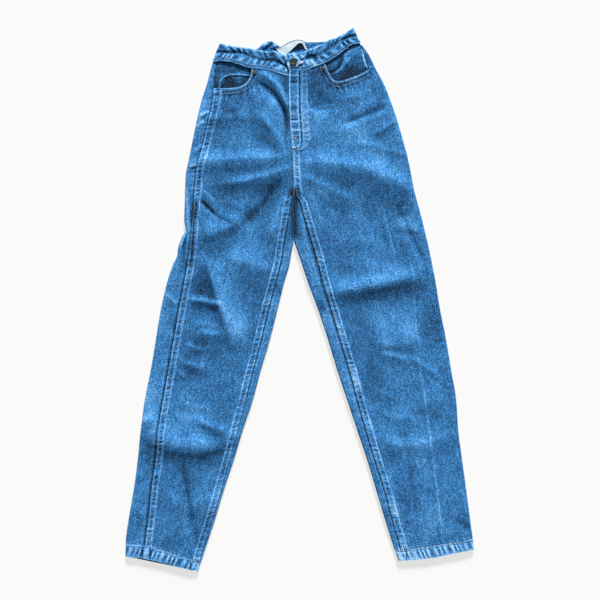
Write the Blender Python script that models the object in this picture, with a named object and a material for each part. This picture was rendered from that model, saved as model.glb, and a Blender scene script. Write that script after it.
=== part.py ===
"""High-waisted tapered jeans, laid flat with the front up.

Sizes are in millimetres until a mesh is written, which is in metres. X runs
across the jeans with the wearer's left side at +X, Y runs up the legs to the
waist, and Z is up from the surface they lie on. The origin is the middle of
the footprint.

Every panel is a grid of points. Its plan comes from short tables of edges and
seams, its height from one function of x and y that adds the folds to the
lie of the cloth, and its wall from moving those points in.
"""

import bpy
import bmesh
import numpy as np

# Walls and clearances
DENIM = 1.2
BAND_WALL = 2.0
BAND_RISE = 1.0
HEM_WALL = 2.0
SEAM_GAP = 0.4
HEM_GAP = 0.5
STRIP_TOP_GAP = 0.6
STRIP_GAP = 0.35
STRIP_WALL = 1.0
STRIP_WIDTH = 14.0

# Lie of the cloth
EDGE_Z = 4.8
EDGE_WIDTH = 14.0
UNDER_WIDTH = 4.5
LEAST_LEVEL = 5.2
SEAM_DROP = 1.0
POCKET_LIFT = 1.3
FACING_DROP = 2.4

# Fly
FLY_WIDTH = 40.0
FLY_CURVE_TOP = 332.0
FLY_END = 297.0

# Places where rows of points change count
CROTCH_Y = 205.0
CENTRE_BACK_X = -12.0
ROWS_ABOVE_CROTCH = 11
ROWS_BELOW_CROTCH = 32
YOKE_ROWS = 3
FLY_ROWS = 7

# Columns of a front panel that carry the layers sewn along its inner edge
INNER_STRIP = slice(-3, None)

# Level of the top layer: y, z
LEVEL = [(545, 6.4), (450, 6.6), (370, 10.2), (-420, 10.2), (-490, 7.0), (-545, 6.8)]

# Silhouette of each leg: y, x. "right" is the wearer's right, at -X
OUTER = {
    "right": [
        (511, -160), (487, -170), (471, -175), (429, -186), (399, -196), (339, -210), (279, -222),
        (249, -228), (189, -230), (159, -231), (138, -228), (126, -235), (99, -244), (89, -245),
        (69, -254), (39, -264), (-21, -278), (-81, -288), (-141, -298), (-201, -310), (-261, -318),
        (-321, -324), (-381, -332), (-441, -342), (-491, -348), (-514, -348),
    ],
    "left": [
        (543, 106), (511, 122), (487, 138), (459, 152), (429, 168), (399, 180), (339, 200),
        (279, 216), (219, 228), (159, 244), (99, 258), (39, 270), (-21, 280), (-81, 292),
        (-141, 302), (-201, 312), (-261, 316), (-321, 324), (-381, 332), (-441, 340), (-499, 348),
    ],
}
INNER = {
    "right": [
        (205, -13), (119, -13), (99, -16), (69, -21), (39, -30), (-21, -45), (-81, -60),
        (-141, -78), (-201, -94), (-261, -114), (-321, -132), (-381, -152), (-441, -170),
        (-501, -190), (-543, -204),
    ],
    "left": [
        (205, -11), (119, -10.5), (99, -6), (69, 4), (39, 14), (-21, 36), (-81, 56), (-141, 74),
        (-201, 94), (-261, 114), (-321, 134), (-381, 152), (-441, 170), (-491, 186), (-521, 196),
    ],
}

# Seams down the front: y, x
OUTSEAM = {
    "right": [
        (473, -166), (449, -170), (421, -172), (399, -174), (339, -187), (299, -196), (259, -206),
        (219, -210), (139, -217), (99, -220), (59, -226), (-21, -241), (-101, -255), (-181, -269),
        (-261, -282), (-301, -285), (-381, -296), (-421, -300), (-491, -309),
    ],
    "left": [
        (511, 119), (495, 127), (479, 132), (463, 136), (447, 147), (429, 161), (399, 177),
        (339, 197), (279, 213), (219, 225), (159, 241), (99, 255), (39, 267), (-21, 277),
        (-81, 289), (-141, 299), (-201, 309), (-261, 313), (-321, 321), (-381, 329),
        (-441, 337), (-499, 345),
    ],
}
INSEAM = {
    "right": [
        (205, -16), (159, -24), (119, -32), (79, -38), (39, -48), (-21, -64), (-81, -78),
        (-141, -94), (-201, -109), (-261, -125), (-321, -141), (-381, -158), (-441, -176),
        (-501, -195), (-521, -200),
    ],
    "left": [
        (205, -8), (193, 1), (179, 5), (159, 11), (119, 23), (79, 35), (39, 45), (-21, 63),
        (-81, 81), (-141, 99), (-201, 115), (-261, 132), (-321, 150), (-381, 169), (-441, 185),
        (-501, 202), (-521, 206),
    ],
}
CENTRE_FRONT = [(457, -22), (399, -22), (349, -20), (319, -17), (299, -15), (249, -13), (219, -12)]

# Seams across the front: x, y
POCKET_MOUTH = {
    "right": [
        (-172, 421), (-166, 421), (-144, 421), (-126, 423), (-114, 427), (-106, 433), (-101, 441),
        (-97, 453), (-96, 459),
    ],
    "left": [
        (137, 459), (130, 455), (110, 445), (90, 438), (76, 435), (68, 437), (62, 443),
        (58, 451), (53, 459), (50, 470),
    ],
}
WAIST_SEAM = {
    "right": [(-174.5, 473), (-160, 475), (-140, 473), (-120, 467), (-96, 460), (-80, 459), (-60, 456),
              (-40, 449), (-22, 445)],
    "left": [(122, 511), (106, 508), (78, 488), (50, 471), (26, 462), (8, 456), (-22, 457)],
}
PANEL_WAIST = {
    "right": [(-80, 459), (-60, 456), (-40, 449)],
    "left": [(26, 462), (8, 456)],
}
HEM_SEAM = {
    "right": [(-348, -489), (-320, -490), (-300, -493), (-280, -499), (-260, -505), (-240, -513),
              (-220, -518), (-200, -521), (-190, -522)],
    "left": [(348, -476), (320, -483), (286, -488), (240, -495), (206, -499), (186, -501)],
}
HEM_END = {
    "right": [(-348, -513), (-320, -515), (-300, -519), (-270, -526), (-240, -534), (-204, -543)],
    "left": [(348, -499), (300, -508), (260, -516), (220, -520), (196, -521)],
}
BAND_TOP = {
    "right": [(-160, 511), (-136, 506), (-116, 503), (-100, 501), (-86, 498), (-66, 495), (-54, 497),
              (-44, 493), (-34, 486)],
    "left": [(106, 543), (99, 538), (71, 522), (56, 517), (40, 508), (22, 501), (0, 493), (-20, 491),
             (-32, 487)],
}
BACK_WAIST = [(-174, 472), (-12, 476), (121, 508)]
BACK_TOP = [
    (-158, 507), (-120, 500), (-96, 498), (-86, 501), (-76, 509), (-68, 514), (-58, 516),
    (-50, 512), (-38, 505), (-32, 508), (-24, 514), (-6, 519), (4, 517), (14, 514), (30, 514),
    (44, 515), (56, 516), (72, 519), (88, 527), (104, 537),
]

# Waistband: lengthwise crease by row, the buttoned end's rise over x, and the back's curl
BAND_CREASE = (-0.5, 0.5, -0.4, 0.6, 0.0)
BAND_OVERLAP_RISE = 0.8
BAND_OVERLAP = (-30.0, 10.0)
BACK_CURL = 0.15
BACK_CURL_MOST = 1.6
LABEL_SIDES = (-48.0, 6.0)

# Pocket facings, under the waistband and the panel: x, y
FACING_WAIST = {
    "right": [(-167.5, 473), (-160, 475), (-140, 473), (-120, 467), (-86, 459)],
    "left": [(119, 511), (106, 508), (78, 488), (40, 468)],
}
FACING_END = {
    "right": [(-171, 409), (-144, 409), (-122, 411), (-104, 420), (-92, 436), (-85, 452)],
    "left": [(145, 447), (132, 443), (114, 434), (96, 427), (78, 423), (62, 428), (52, 440), (41, 462)],
}

# Stiffness of the cloth, which scales every fold
FOLD_SCALE = 1.9

# Largest folds: x0, y0, x1, y1, reach on the left of the way, reach on the right, height, bend
FOLDS = [
    (-84, 455, -26, 379, 8, 8, 1.9, 13),
    (-82, 430, -24, 331, 6, 6, -2.6, 16),
    (-84, 371, -24, 283, 12, 12, 2.2, 5),
    (-184, 361, -108, 363, 8, 9, 2.0, 0),
    (-208, 275, -20, 281, 14, 26, 3.0, 2),
    (-152, 229, -16, 263, 9, 18, 2.6, -4),
    (-26, 209, -58, 119, 9, 10, 1.7, 0),
    (-44, 229, -112, 149, 12, 12, -2.2, 3),
    (-198, 197, -167, 167, 3, 4, -2.0, 0),
    (-198, 125, -116, 151, 20, 16, 2.0, 0),
    (-198, 189, -226, 71, 16, 8, 2.0, 0),
    (-188, 78, -134, -92, 30, 13, 3.8, 2),
    (-146, 83, -56, 61, 24, 22, 2.4, 0),
    (-64, 69, -76, -21, 12, 24, 1.6, 0),
    (-222, 1, -160, -11, 6, 12, 2.4, 2),
    (-204, -66, -156, -70, 5, 12, 1.5, 0),
    (-230, -123, -188, -135, 5, 11, 1.8, 0),
    (-318, -241, -282, -243, 22, 12, 2.0, 0),
    (-212, -235, -144, -263, 6, 12, 1.6, -3),
    (-314, -256, -132, -272, 24, 26, 3.3, -27),
    (-256, -411, -164, -405, 30, 22, 1.4, 0),
    (-234, -325, -216, -475, 7, 7, -1.2, 0),
    (18, 381, 72, 387, 26, 8, -2.2, -4),
    (92, 349, 176, 384, 8, 6, -1.8, 0),
    (150, 329, 198, 359, 7, 9, 1.4, 0),
    (4, 271, 104, 267, 18, 28, 3.0, 3),
    (96, 273, 226, 208, 18, 36, 3.4, 7),
    (0, 249, 108, 195, 9, 22, 1.9, 0),
    (190, 189, 246, 75, 6, 8, -1.4, 0),
    (196, 147, 240, 135, 18, 8, 1.4, 0),
    (60, 15, 240, 51, 22, 20, 3.5, -4),
    (150, -95, 240, -83, 40, 14, 2.2, 0),
    (160, -109, 216, -123, 6, 12, 1.5, 3),
    (218, -115, 276, -155, 6, 9, 1.4, 2),
    (236, -205, 290, -203, 16, 10, 0.8, 0),
    (156, -277, 284, -273, 16, 24, 1.7, -16),
    (210, -281, 230, -441, 9, 9, -1.4, 0),
]

# Height of the flat seat under the button, and how far it reaches
BUTTON_SEAT_Z = 8.6
BUTTON_SEAT_REACH = 17.0

# Hardware: x, y, radius, height
BUTTON = (-13, 474, 7.0, 3.2)
RIVETS = {"right": (-91, 452, 3.6, 1.4), "left": (46, 461, 3.6, 1.4)}
RIVET_SEAT_REACH = 14.0

# Back patch pockets: half the width at the top and at the bottom, y of the top, side ends and tip
POCKET_HALF_TOP = 62.0
POCKET_HALF_BOTTOM = 56.0
POCKET_TOP_Y = 412.0
POCKET_SIDE_Y = 290.0
POCKET_TIP_Y = 268.0
POCKET_WALL = 1.0
POCKET_CENTRE = {"right": -92.0, "left": 74.0}

# Colours, as red, green, blue, roughness and metallic
DENIM_FINISH = (0.085, 0.21, 0.45, 0.9, 0.0)
LABEL_FINISH = (0.80, 0.78, 0.70, 0.8, 0.0)
BUTTON_FINISH = (0.16, 0.13, 0.10, 0.35, 1.0)
RIVET_FINISH = (0.33, 0.17, 0.10, 0.4, 1.0)


def curve(table, at):
    """A smooth function through a table's rows (position, value), which never overshoots them."""
    rows = np.array(sorted(table), dtype=float)
    knots, values = rows[:, 0], rows[:, 1]
    secants = np.diff(values) / np.diff(knots)
    before, after = secants[:-1], secants[1:]
    total = np.where(before * after > 0, before + after, 1)
    inner = np.where(before * after > 0, 2 * before * after / total, 0)
    slopes = np.concatenate([secants[:1], inner, secants[-1:]])
    at = np.clip(at, knots[0], knots[-1])
    low = np.clip(np.searchsorted(knots, at) - 1, 0, len(knots) - 2)
    span = knots[low + 1] - knots[low]
    s = (at - knots[low]) / span
    start = (1 + 2 * s) * (1 - s) ** 2 * values[low] + s * (1 - s) ** 2 * span * slopes[low]
    end = s ** 2 * (3 - 2 * s) * values[low + 1] - s ** 2 * (1 - s) * span * slopes[low + 1]
    return start + end


def path(points, u):
    """Points at the shares u of the length of a smooth line through the given points."""
    points = np.array(points, dtype=float)
    steps = np.hypot(*np.diff(points, axis=0).T)
    length = np.concatenate([[0], np.cumsum(steps)]) / steps.sum()
    across = curve(list(zip(length, points[:, 0])), u)
    along = curve(list(zip(length, points[:, 1])), u)
    return np.stack([across, along], axis=-1)


def smooth_step(low, high, at):
    """0 below low, 1 above high, and a smooth rise between."""
    s = np.clip((at - low) / (high - low), 0, 1)
    return s * s * (3 - 2 * s)


def quarter_round(distance, width):
    """0 at the silhouette, rising as a quarter circle to 1 at the given width inside it."""
    return np.sqrt(1 - (1 - np.clip(distance / width, 0, 1)) ** 2)


def fold_height(x, y):
    """Sum of the folds: each is a ridge or trough along a bent line that dies away at its ends."""
    total = np.zeros_like(x)
    for x0, y0, x1, y1, left, right, height, bend in FOLDS:
        length = np.hypot(x1 - x0, y1 - y0)
        way_x, way_y = (x1 - x0) / length, (y1 - y0) / length
        along = ((x - x0) * way_x + (y - y0) * way_y) / length
        inside = np.clip(along, 0, 1)
        off = (y - y0) * way_x - (x - x0) * way_y - bend * 4 * inside * (1 - inside)
        reach = np.where(off > 0, left, right)
        ends = smooth_step(-0.12, 0.2, along) * smooth_step(-0.12, 0.2, 1 - along)
        total += FOLD_SCALE * height * ends * np.exp(-np.abs(off / reach) ** 1.6)
    return total


def top_height(leg, x, y):
    """Height of the top layer: its level and folds, rounded down at the silhouette of the leg."""
    level = np.interp(y, *np.array(sorted(LEVEL), dtype=float).T)
    level = np.maximum(level + fold_height(x, y), LEAST_LEVEL)
    from_outer = np.abs(x - curve(OUTER[leg], y))
    from_inner = np.abs(x - curve(INNER[leg], y))
    from_inner = np.hypot(from_inner, np.maximum(y - CROTCH_Y, 0))
    rise = quarter_round(from_outer, EDGE_WIDTH) * quarter_round(from_inner, EDGE_WIDTH)
    return EDGE_Z + (level - EDGE_Z) * rise


def under_height(leg, x, y):
    """Height of the underside: flat, lifted off the pockets, and rounded up at the silhouette."""
    lift = POCKET_LIFT * smooth_step(169, 209, y) * (1 - smooth_step(440, 465, y))
    from_outer = np.abs(x - curve(OUTER[leg], y))
    from_inner = np.abs(x - curve(INNER[leg], y))
    from_inner = np.hypot(from_inner, np.maximum(y - CROTCH_Y, 0))
    rise = quarter_round(from_outer, UNDER_WIDTH) * quarter_round(from_inner, UNDER_WIDTH)
    return lift + (EDGE_Z - lift) * (1 - rise)


def finish(name, values):
    """A material with the given colour, roughness and metallic value."""
    material = bpy.data.materials.get(name)
    if material:
        return material
    material = bpy.data.materials.new(name)
    material.use_nodes = True
    shader = material.node_tree.nodes["Principled BSDF"]
    shader.inputs["Base Color"].default_value = (*values[:3], 1.0)
    shader.inputs["Roughness"].default_value = values[3]
    shader.inputs["Metallic"].default_value = values[4]
    return material


def add_object(name, points, faces, material):
    """An object from points in millimetres, with its faces turned out."""
    shape = bmesh.new()
    vertices = [shape.verts.new(np.asarray(point) / 1000) for point in points]
    for face in faces:
        shape.faces.new([vertices[index] for index in face])
    loose = [vertex for vertex in shape.verts if not vertex.link_faces]
    bmesh.ops.delete(shape, geom=loose, context="VERTS")
    bmesh.ops.recalc_face_normals(shape, faces=shape.faces)
    mesh = bpy.data.meshes.new(name)
    shape.to_mesh(mesh)
    shape.free()
    mesh.shade_smooth()
    mesh.set_sharp_from_angle(angle=0.7)
    mesh.materials.append(material)
    item = bpy.data.objects.new(name, mesh)
    bpy.context.collection.objects.link(item)
    return item


def add_wall(name, outer, inner, material, cells=None, closed=False):
    """A wall between two grids of points, where cells says which of the grid's cells it has."""
    rows, columns = outer.shape[:2]
    across = columns if closed else columns - 1
    if cells is None:
        cells = np.ones((rows - 1, across), dtype=bool)
    inside = rows * columns
    faces = []

    def has(row, column):
        if closed:
            column %= across
        return 0 <= row < rows - 1 and 0 <= column < across and cells[row, column]

    for row in range(rows - 1):
        for column in range(across):
            if not cells[row, column]:
                continue
            right = (column + 1) % columns
            a, b = row * columns + column, row * columns + right
            c, d = a + columns, b + columns
            faces += [(a, b, d), (a, d, c), (a + inside, d + inside, b + inside)]
            faces += [(a + inside, c + inside, d + inside)]
            sides = [(a, b, has(row - 1, column)), (d, c, has(row + 1, column))]
            sides += [(c, a, has(row, column - 1)), (b, d, has(row, column + 1))]
            for start, end, shared in sides:
                if not shared:
                    faces += [(start, start + inside, end), (end, start + inside, end + inside)]
    points = np.concatenate([outer.reshape(-1, 3), inner.reshape(-1, 3)])
    return add_object(name, points, faces, material)


def lowered(grid, depth):
    """The same grid of points, moved down."""
    return grid - np.array([0, 0, depth])


def normals(grid, closed=False):
    """Unit normals of a grid of points, by central differences."""
    along = np.gradient(grid, axis=0)
    if closed:
        wrapped = np.concatenate([grid[:, -1:], grid, grid[:, :1]], axis=1)
        across = np.gradient(wrapped, axis=1)[:, 1:-1]
    else:
        across = np.gradient(grid, axis=1)
    normal = np.cross(across, along)
    return normal / np.linalg.norm(normal, axis=-1, keepdims=True)


def blend_plan(top, bottom, first, last, u, weight):
    """A plan between four edges. top(u) and bottom(u) are lines, first and last points by row."""
    weight = weight[:, None, None]
    plan = weight * top(u) + (1 - weight) * bottom(u)
    zero, one = np.zeros(1), np.ones(1)
    start = weight * top(zero) + (1 - weight) * bottom(zero)
    end = weight * top(one) + (1 - weight) * bottom(one)
    share = u[..., None]
    return plan + (1 - share) * (first[:, None] - start) + share * (last[:, None] - end)


def row_stations(leg):
    """y of each row of a leg's front panel, at its outseam and at its centre or inseam."""
    corner = POCKET_MOUTH[leg][0][1]
    centre = WAIST_SEAM[leg][-1][1]
    outer_end = curve(HEM_SEAM[leg], sorted(OUTSEAM[leg])[0][1])
    inner_end = curve(HEM_SEAM[leg], sorted(INSEAM[leg])[0][1])
    outer = np.concatenate([
        np.linspace(corner, CROTCH_Y, ROWS_ABOVE_CROTCH + 1),
        np.linspace(CROTCH_Y, outer_end, ROWS_BELOW_CROTCH + 1)[1:],
    ])
    inner = np.concatenate([
        np.linspace(centre, CROTCH_Y, ROWS_ABOVE_CROTCH + 1),
        np.linspace(CROTCH_Y, inner_end, ROWS_BELOW_CROTCH + 1)[1:],
    ])
    return outer, inner


def front_edge(leg, y):
    """x of the front panel's inner edge: the centre front, then the inseam."""
    side = -SEAM_GAP / 2 if leg == "right" else SEAM_GAP / 2
    centre = curve(CENTRE_FRONT, y) + side
    return np.where(y > CROTCH_Y + 1, centre, curve(INSEAM[leg], y))


def inner_strip_width(leg, y):
    """Width of the layer sewn along the inner edge: the fly with its curved end, then a seam."""
    if leg == "right":
        return np.full_like(y, STRIP_WIDTH)
    share = np.clip((FLY_CURVE_TOP - y) / (FLY_CURVE_TOP - FLY_END), 0, 1)
    return STRIP_WIDTH + (FLY_WIDTH - STRIP_WIDTH) * np.sqrt(1 - share ** 2)


def front_points(leg):
    """Grid of a front panel: rows from the waist and pocket to the hem, columns from the outseam."""
    outer_y, inner_y = row_stations(leg)
    first = np.stack([curve(OUTSEAM[leg], outer_y), outer_y], axis=-1)
    last = np.stack([front_edge(leg, inner_y), inner_y], axis=-1)
    width = np.hypot(*(last - first).T)
    waist = [POCKET_MOUTH[leg][-1]] + PANEL_WAIST[leg] + [tuple(last[0])]

    def top(u):
        mouth = path(POCKET_MOUTH[leg], np.minimum(u * 2, 1))
        seam = path(waist, np.maximum(u * 2 - 1, 0))
        return np.where(u[..., None] < 0.5, mouth, seam)

    def bottom(u):
        x = first[-1, 0] + (last[-1, 0] - first[-1, 0]) * u
        return np.stack([x, curve(HEM_SEAM[leg], x)], axis=-1)

    strip = STRIP_WIDTH / width
    end_strip = 1 - inner_strip_width(leg, inner_y) / width
    middle = 0.5 * np.ones_like(width)
    shares = [np.zeros_like(width)]
    shares += [strip + (middle - strip) * k / 5 for k in range(5)]
    shares += [middle + (end_strip - middle) * k / 5 for k in range(6)]
    shares += [(1 + end_strip) / 2, np.ones_like(width)]
    u = np.stack(shares, axis=-1)
    weight = (1 - np.linspace(0, 1, len(width))) ** 3
    plan = blend_plan(top, bottom, first, last, u, weight)
    height = top_height(leg, plan[..., 0], plan[..., 1])
    return np.concatenate([plan, height[..., None]], axis=-1)


def back_points(leg):
    """Grid of a back panel: each row runs from the outseam round the leg's edge, under the leg,
    and round the other edge to the inseam."""
    outer_y, inner_y = row_stations(leg)
    side_y, centre_y = BACK_WAIST[0 if leg == "right" else -1][1], BACK_WAIST[1][1]
    centre_x = CENTRE_BACK_X + (-SEAM_GAP / 2 if leg == "right" else SEAM_GAP / 2)
    yoke_end = 410.0
    outer_y = np.concatenate([np.linspace(side_y, outer_y[0], YOKE_ROWS + 1)[:-1], outer_y])
    above = np.concatenate([
        np.linspace(centre_y, yoke_end, YOKE_ROWS + 1)[:-1],
        np.linspace(yoke_end, CROTCH_Y, ROWS_ABOVE_CROTCH + 1),
    ])
    inner_y = np.concatenate([above, inner_y[ROWS_ABOVE_CROTCH + 1:]])
    crotch_row = YOKE_ROWS + ROWS_ABOVE_CROTCH
    way = 1 if leg == "right" else -1
    outer_x = curve(OUTER[leg], outer_y)
    inner_x = curve(INNER[leg], inner_y)
    inner_x[:crotch_row] = centre_x
    seam_in = np.abs(curve(OUTSEAM[leg], outer_y) - outer_x) - SEAM_GAP
    inseam_in = np.abs(curve(INSEAM[leg], inner_y) - inner_x) - SEAM_GAP
    to_hem = smooth_step(len(outer_y) - 9, len(outer_y) - 1, np.arange(len(outer_y)))
    columns = []

    def hem_y(x):
        return curve(HEM_SEAM[leg], x)

    def place(x, y, height):
        columns.append(np.stack([x, y, height], axis=-1))

    def place_strip(edge_x, inset, whole, row_y):
        x = edge_x + inset
        y = row_y + to_hem * (hem_y(x) - hem_y(edge_x + whole))
        drop = SEAM_DROP * smooth_step(0, 8, np.abs(inset))
        place(x, y, top_height(leg, x, y) - drop)

    near = np.minimum(5, seam_in / 2)
    for inset in (seam_in, (seam_in + near) / 2, near):
        place_strip(outer_x, way * inset, way * seam_in, outer_y)
    outer_edge_y = outer_y + to_hem * (hem_y(outer_x) - hem_y(outer_x + way * seam_in))
    inner_edge_y = inner_y + to_hem * (hem_y(inner_x) - hem_y(inner_x - way * inseam_in))
    place(outer_x, outer_edge_y, np.full_like(outer_x, EDGE_Z))
    width = np.abs(inner_x - outer_x)
    spans = [np.full_like(width, 1.2), np.full_like(width, UNDER_WIDTH)]
    spans += [width * share for share in (0.2, 0.4, 0.6, 0.8)]
    spans += [width - UNDER_WIDTH, width - 1.2]
    for inset in spans:
        share = inset / width
        x = outer_x + way * inset
        y = outer_edge_y + (inner_edge_y - outer_edge_y) * share
        place(x, y, under_height(leg, x, y))
    place(inner_x, inner_edge_y, under_height(leg, inner_x, inner_edge_y))
    near = np.minimum(5, inseam_in / 2)
    for inset in (near, (near + inseam_in) / 2, inseam_in):
        place_strip(inner_x, -way * inset, -way * inseam_in, inner_y)
    return np.stack(columns, axis=1), crotch_row


def move_row(grid, row, towards, distance):
    """Move one row of points a little towards a neighbouring row, to open a gap."""
    grid = grid.copy()
    way = grid[towards] - grid[row]
    grid[row] += way * distance / np.linalg.norm(way, axis=-1, keepdims=True)
    return grid


def build_front(leg, denim):
    """A front panel, with its scooped pocket mouth."""
    points = front_points(leg)
    add_wall("front_" + leg, points, lowered(points, DENIM), denim)
    return points


def build_back(leg, denim):
    """A back panel and its yoke, which share one surface that wraps round the leg."""
    outer, crotch_row = back_points(leg)
    turn = normals(outer)
    if turn[5, 8, 2] > 0:
        turn = -turn
    turn[:, 0] = turn[:, -1] = (0, 0, 1)
    turn[:crotch_row, -4:] = (0, 0, -1)
    turn[[0, -1], :, 1] = 0
    turn /= np.linalg.norm(turn, axis=-1, keepdims=True)
    inner = outer - DENIM * turn
    cells = np.ones((outer.shape[0] - 1, outer.shape[1] - 1), dtype=bool)
    cells[:crotch_row, -3:] = False
    yoke = slice(0, YOKE_ROWS + 1)
    upper_outer = move_row(outer[yoke], YOKE_ROWS, YOKE_ROWS - 1, SEAM_GAP)
    upper_inner = move_row(inner[yoke], YOKE_ROWS, YOKE_ROWS - 1, SEAM_GAP)
    add_wall("yoke_" + leg, upper_outer, upper_inner, denim, cells[:YOKE_ROWS])
    add_wall("back_" + leg, outer[YOKE_ROWS:], inner[YOKE_ROWS:], denim, cells[YOKE_ROWS:])


def build_strip(name, panel, rows, columns, denim):
    """A seam or fly layer laid on some cells of a panel, from the panel's own points."""
    under = lowered(panel[rows, columns], -STRIP_GAP)
    under = move_row(under, 0, 1, STRIP_TOP_GAP)
    under = move_row(under, -1, -2, SEAM_GAP / 2)
    add_wall(name, lowered(under, -STRIP_WALL), under, denim)


def build_facing(leg, denim):
    """The cloth seen in a pocket mouth, which runs on under the panel's edge."""
    waist = [(x, y - 2 * SEAM_GAP) for x, y in FACING_WAIST[leg]]
    sign = 1 if leg == "right" else -1
    start_y = np.linspace(waist[0][1], FACING_END[leg][0][1], 5)
    first = np.stack([curve(OUTSEAM[leg], start_y) + sign * SEAM_GAP, start_y], axis=-1)
    waist[0] = tuple(first[0])
    last = np.linspace(waist[-1], FACING_END[leg][-1], 5)
    u = np.tile(np.linspace(0, 1, 8), (5, 1))
    weight = 1 - np.linspace(0, 1, 5)
    end = [tuple(first[-1])] + FACING_END[leg][1:]
    plan = blend_plan(lambda u: path(waist, u), lambda u: path(end, u), first, last, u, weight)
    height = top_height(leg, plan[..., 0], plan[..., 1]) - FACING_DROP
    points = np.concatenate([plan, height[..., None]], axis=-1)
    add_wall("facing_" + leg, points, lowered(points, DENIM), denim)


def build_front_band(leg, denim):
    """One half of the front waistband. It thickens at the side, where it folds to the back."""
    top, seam = BAND_TOP[leg], [(x, y + 2 * SEAM_GAP) for x, y in WAIST_SEAM[leg]]
    closure = -SEAM_GAP / 2 if leg == "right" else SEAM_GAP / 2
    seam[-1] = (seam[-1][0] + closure, seam[-1][1])
    side_y = np.linspace(top[0][1], seam[0][1], 5)
    first = np.stack([curve(OUTER[leg], side_y), side_y], axis=-1)
    top = [tuple(first[0])] + top[1:-1] + [(top[-1][0] + closure, top[-1][1])]
    seam[0] = tuple(first[-1])
    last = np.linspace(top[-1], seam[-1], 5)
    shares = np.concatenate([[0, 0.02, 0.06], np.linspace(0.12, 1, 13)])
    u = np.tile(shares, (5, 1))
    weight = 1 - np.linspace(0, 1, 5)
    plan = blend_plan(lambda u: path(top, u), lambda u: path(seam, u), first, last, u, weight)
    height = top_height(leg, plan[..., 0], plan[..., 1]) + BAND_RISE
    crease = np.array(BAND_CREASE)[:, None]
    from_side = np.abs(plan[..., 0] - curve(OUTER[leg], plan[..., 1]))
    height = height + crease * quarter_round(from_side, EDGE_WIDTH)
    if leg == "left":
        height += BAND_OVERLAP_RISE * (1 - smooth_step(*BAND_OVERLAP, plan[..., 0]))
        from_button = np.hypot(plan[..., 0] - BUTTON[0], plan[..., 1] - BUTTON[1])
        seat = 1 - smooth_step(BUTTON_SEAT_REACH, BUTTON_SEAT_REACH + 12, from_button)
        height += (BUTTON_SEAT_Z - height) * seat
    outer = np.concatenate([plan, height[..., None]], axis=-1)
    inner = lowered(outer, BAND_WALL)
    inner[:, 0, 2] = 2.2
    inner[:, 1, 2] = np.minimum(inner[:, 1, 2], 2.4)
    add_wall("waistband_front_" + leg, outer, inner, denim)


def build_back_band(denim, cloth):
    """The back waistband, which stands a little proud inside the neckline, and its bare label."""
    stations = np.linspace(0, 1, 30)[None]
    front_top = sorted(BAND_TOP["right"] + BAND_TOP["left"])
    seam = [(x, y + SEAM_GAP) for x, y in BACK_WAIST]
    seam_x = np.interp(stations, [0, 0.57, 1], [point[0] for point in seam])
    seam_y = np.interp(seam_x, *np.array(seam, dtype=float).T)
    low = np.stack([seam_x, seam_y], axis=-1)
    high = path(BACK_TOP, stations)
    shares = np.array([0, 0.5, 0.75, 1])[:, None, None]
    plan = low + (high - low) * shares
    x, y = plan[..., 0], plan[..., 1]
    shown = y - np.interp(x, *np.array(front_top, dtype=float).T) - 3
    curl = np.minimum(BACK_CURL * np.maximum(shown, 0), BACK_CURL_MOST)
    outer = np.concatenate([plan, (curl + 1.8)[..., None]], axis=-1)
    inner = lowered(outer, 1.8)
    add_wall("waistband_back", outer, inner, denim)
    middle = (x[3] > LABEL_SIDES[0]) & (x[3] < LABEL_SIDES[1])
    columns = np.flatnonzero(middle)
    label = lowered(outer[2:, columns[0]:columns[-1] + 1], -STRIP_GAP)
    add_wall("waist_label", lowered(label, -0.8), label, cloth)


def build_hem(leg, denim):
    """A turned-up hem: a flattened tube with a wall of folded cloth."""
    seam, end = HEM_SEAM[leg], HEM_END[leg]
    shares = np.concatenate([[0, 0.012, 0.04, 0.1], np.linspace(0.18, 0.82, 9), [0.9, 0.96, 0.988, 1]])
    rows = np.linspace(0, 1, 3)[:, None]
    edge_y = seam[0][1] + (end[0][1] - seam[0][1]) * rows
    inseam_y = seam[-1][1] + (end[-1][1] - seam[-1][1]) * rows
    x_outer = curve(OUTER[leg], edge_y)
    x_inner = curve(INNER[leg], inseam_y)
    x = x_outer + (x_inner - x_outer) * shares
    start_y = curve(seam, x) - HEM_GAP
    y = start_y + (curve(end, x) - start_y) * rows
    height = top_height(leg, x, y)
    from_edge = np.minimum(np.abs(x - x_outer), np.abs(x - x_inner))
    height += 0.7 * quarter_round(from_edge, EDGE_WIDTH)
    height[:, [0, -1]] = EDGE_Z
    top = np.stack([x, y, height], axis=-1)
    level_y = y[:, :1] + (y[:, -1:] - y[:, :1]) * shares
    base = np.stack([x, level_y, under_height(leg, x, level_y)], axis=-1)[:, 1:-1]
    outer = np.concatenate([top, base[:, ::-1]], axis=1)
    turn = normals(outer, closed=True)
    if turn[1, 8, 2] < 0:
        turn = -turn
    turn[..., 1] = 0
    turn /= np.linalg.norm(turn, axis=-1, keepdims=True)
    inner = outer - HEM_WALL * turn
    add_wall("hem_" + leg, outer, inner, denim, closed=True)


def build_back_pocket(leg, denim):
    """A plain patch pocket under the seat, cut as a pentagon."""
    middle = POCKET_CENTRE[leg]
    plan = [
        (middle - POCKET_HALF_TOP, POCKET_TOP_Y), (middle + POCKET_HALF_TOP, POCKET_TOP_Y),
        (middle + POCKET_HALF_BOTTOM, POCKET_SIDE_Y), (middle, POCKET_TIP_Y),
        (middle - POCKET_HALF_BOTTOM, POCKET_SIDE_Y),
    ]
    count = len(plan)
    points = [(x, y, POCKET_WALL) for x, y in plan] + [(x, y, 0) for x, y in plan]
    faces = [tuple(range(count)), tuple(range(count, 2 * count))]
    for k in range(count):
        after = (k + 1) % count
        faces.append((k, after, after + count, k + count))
    add_object("back_pocket_" + leg, points, faces, denim)


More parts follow.
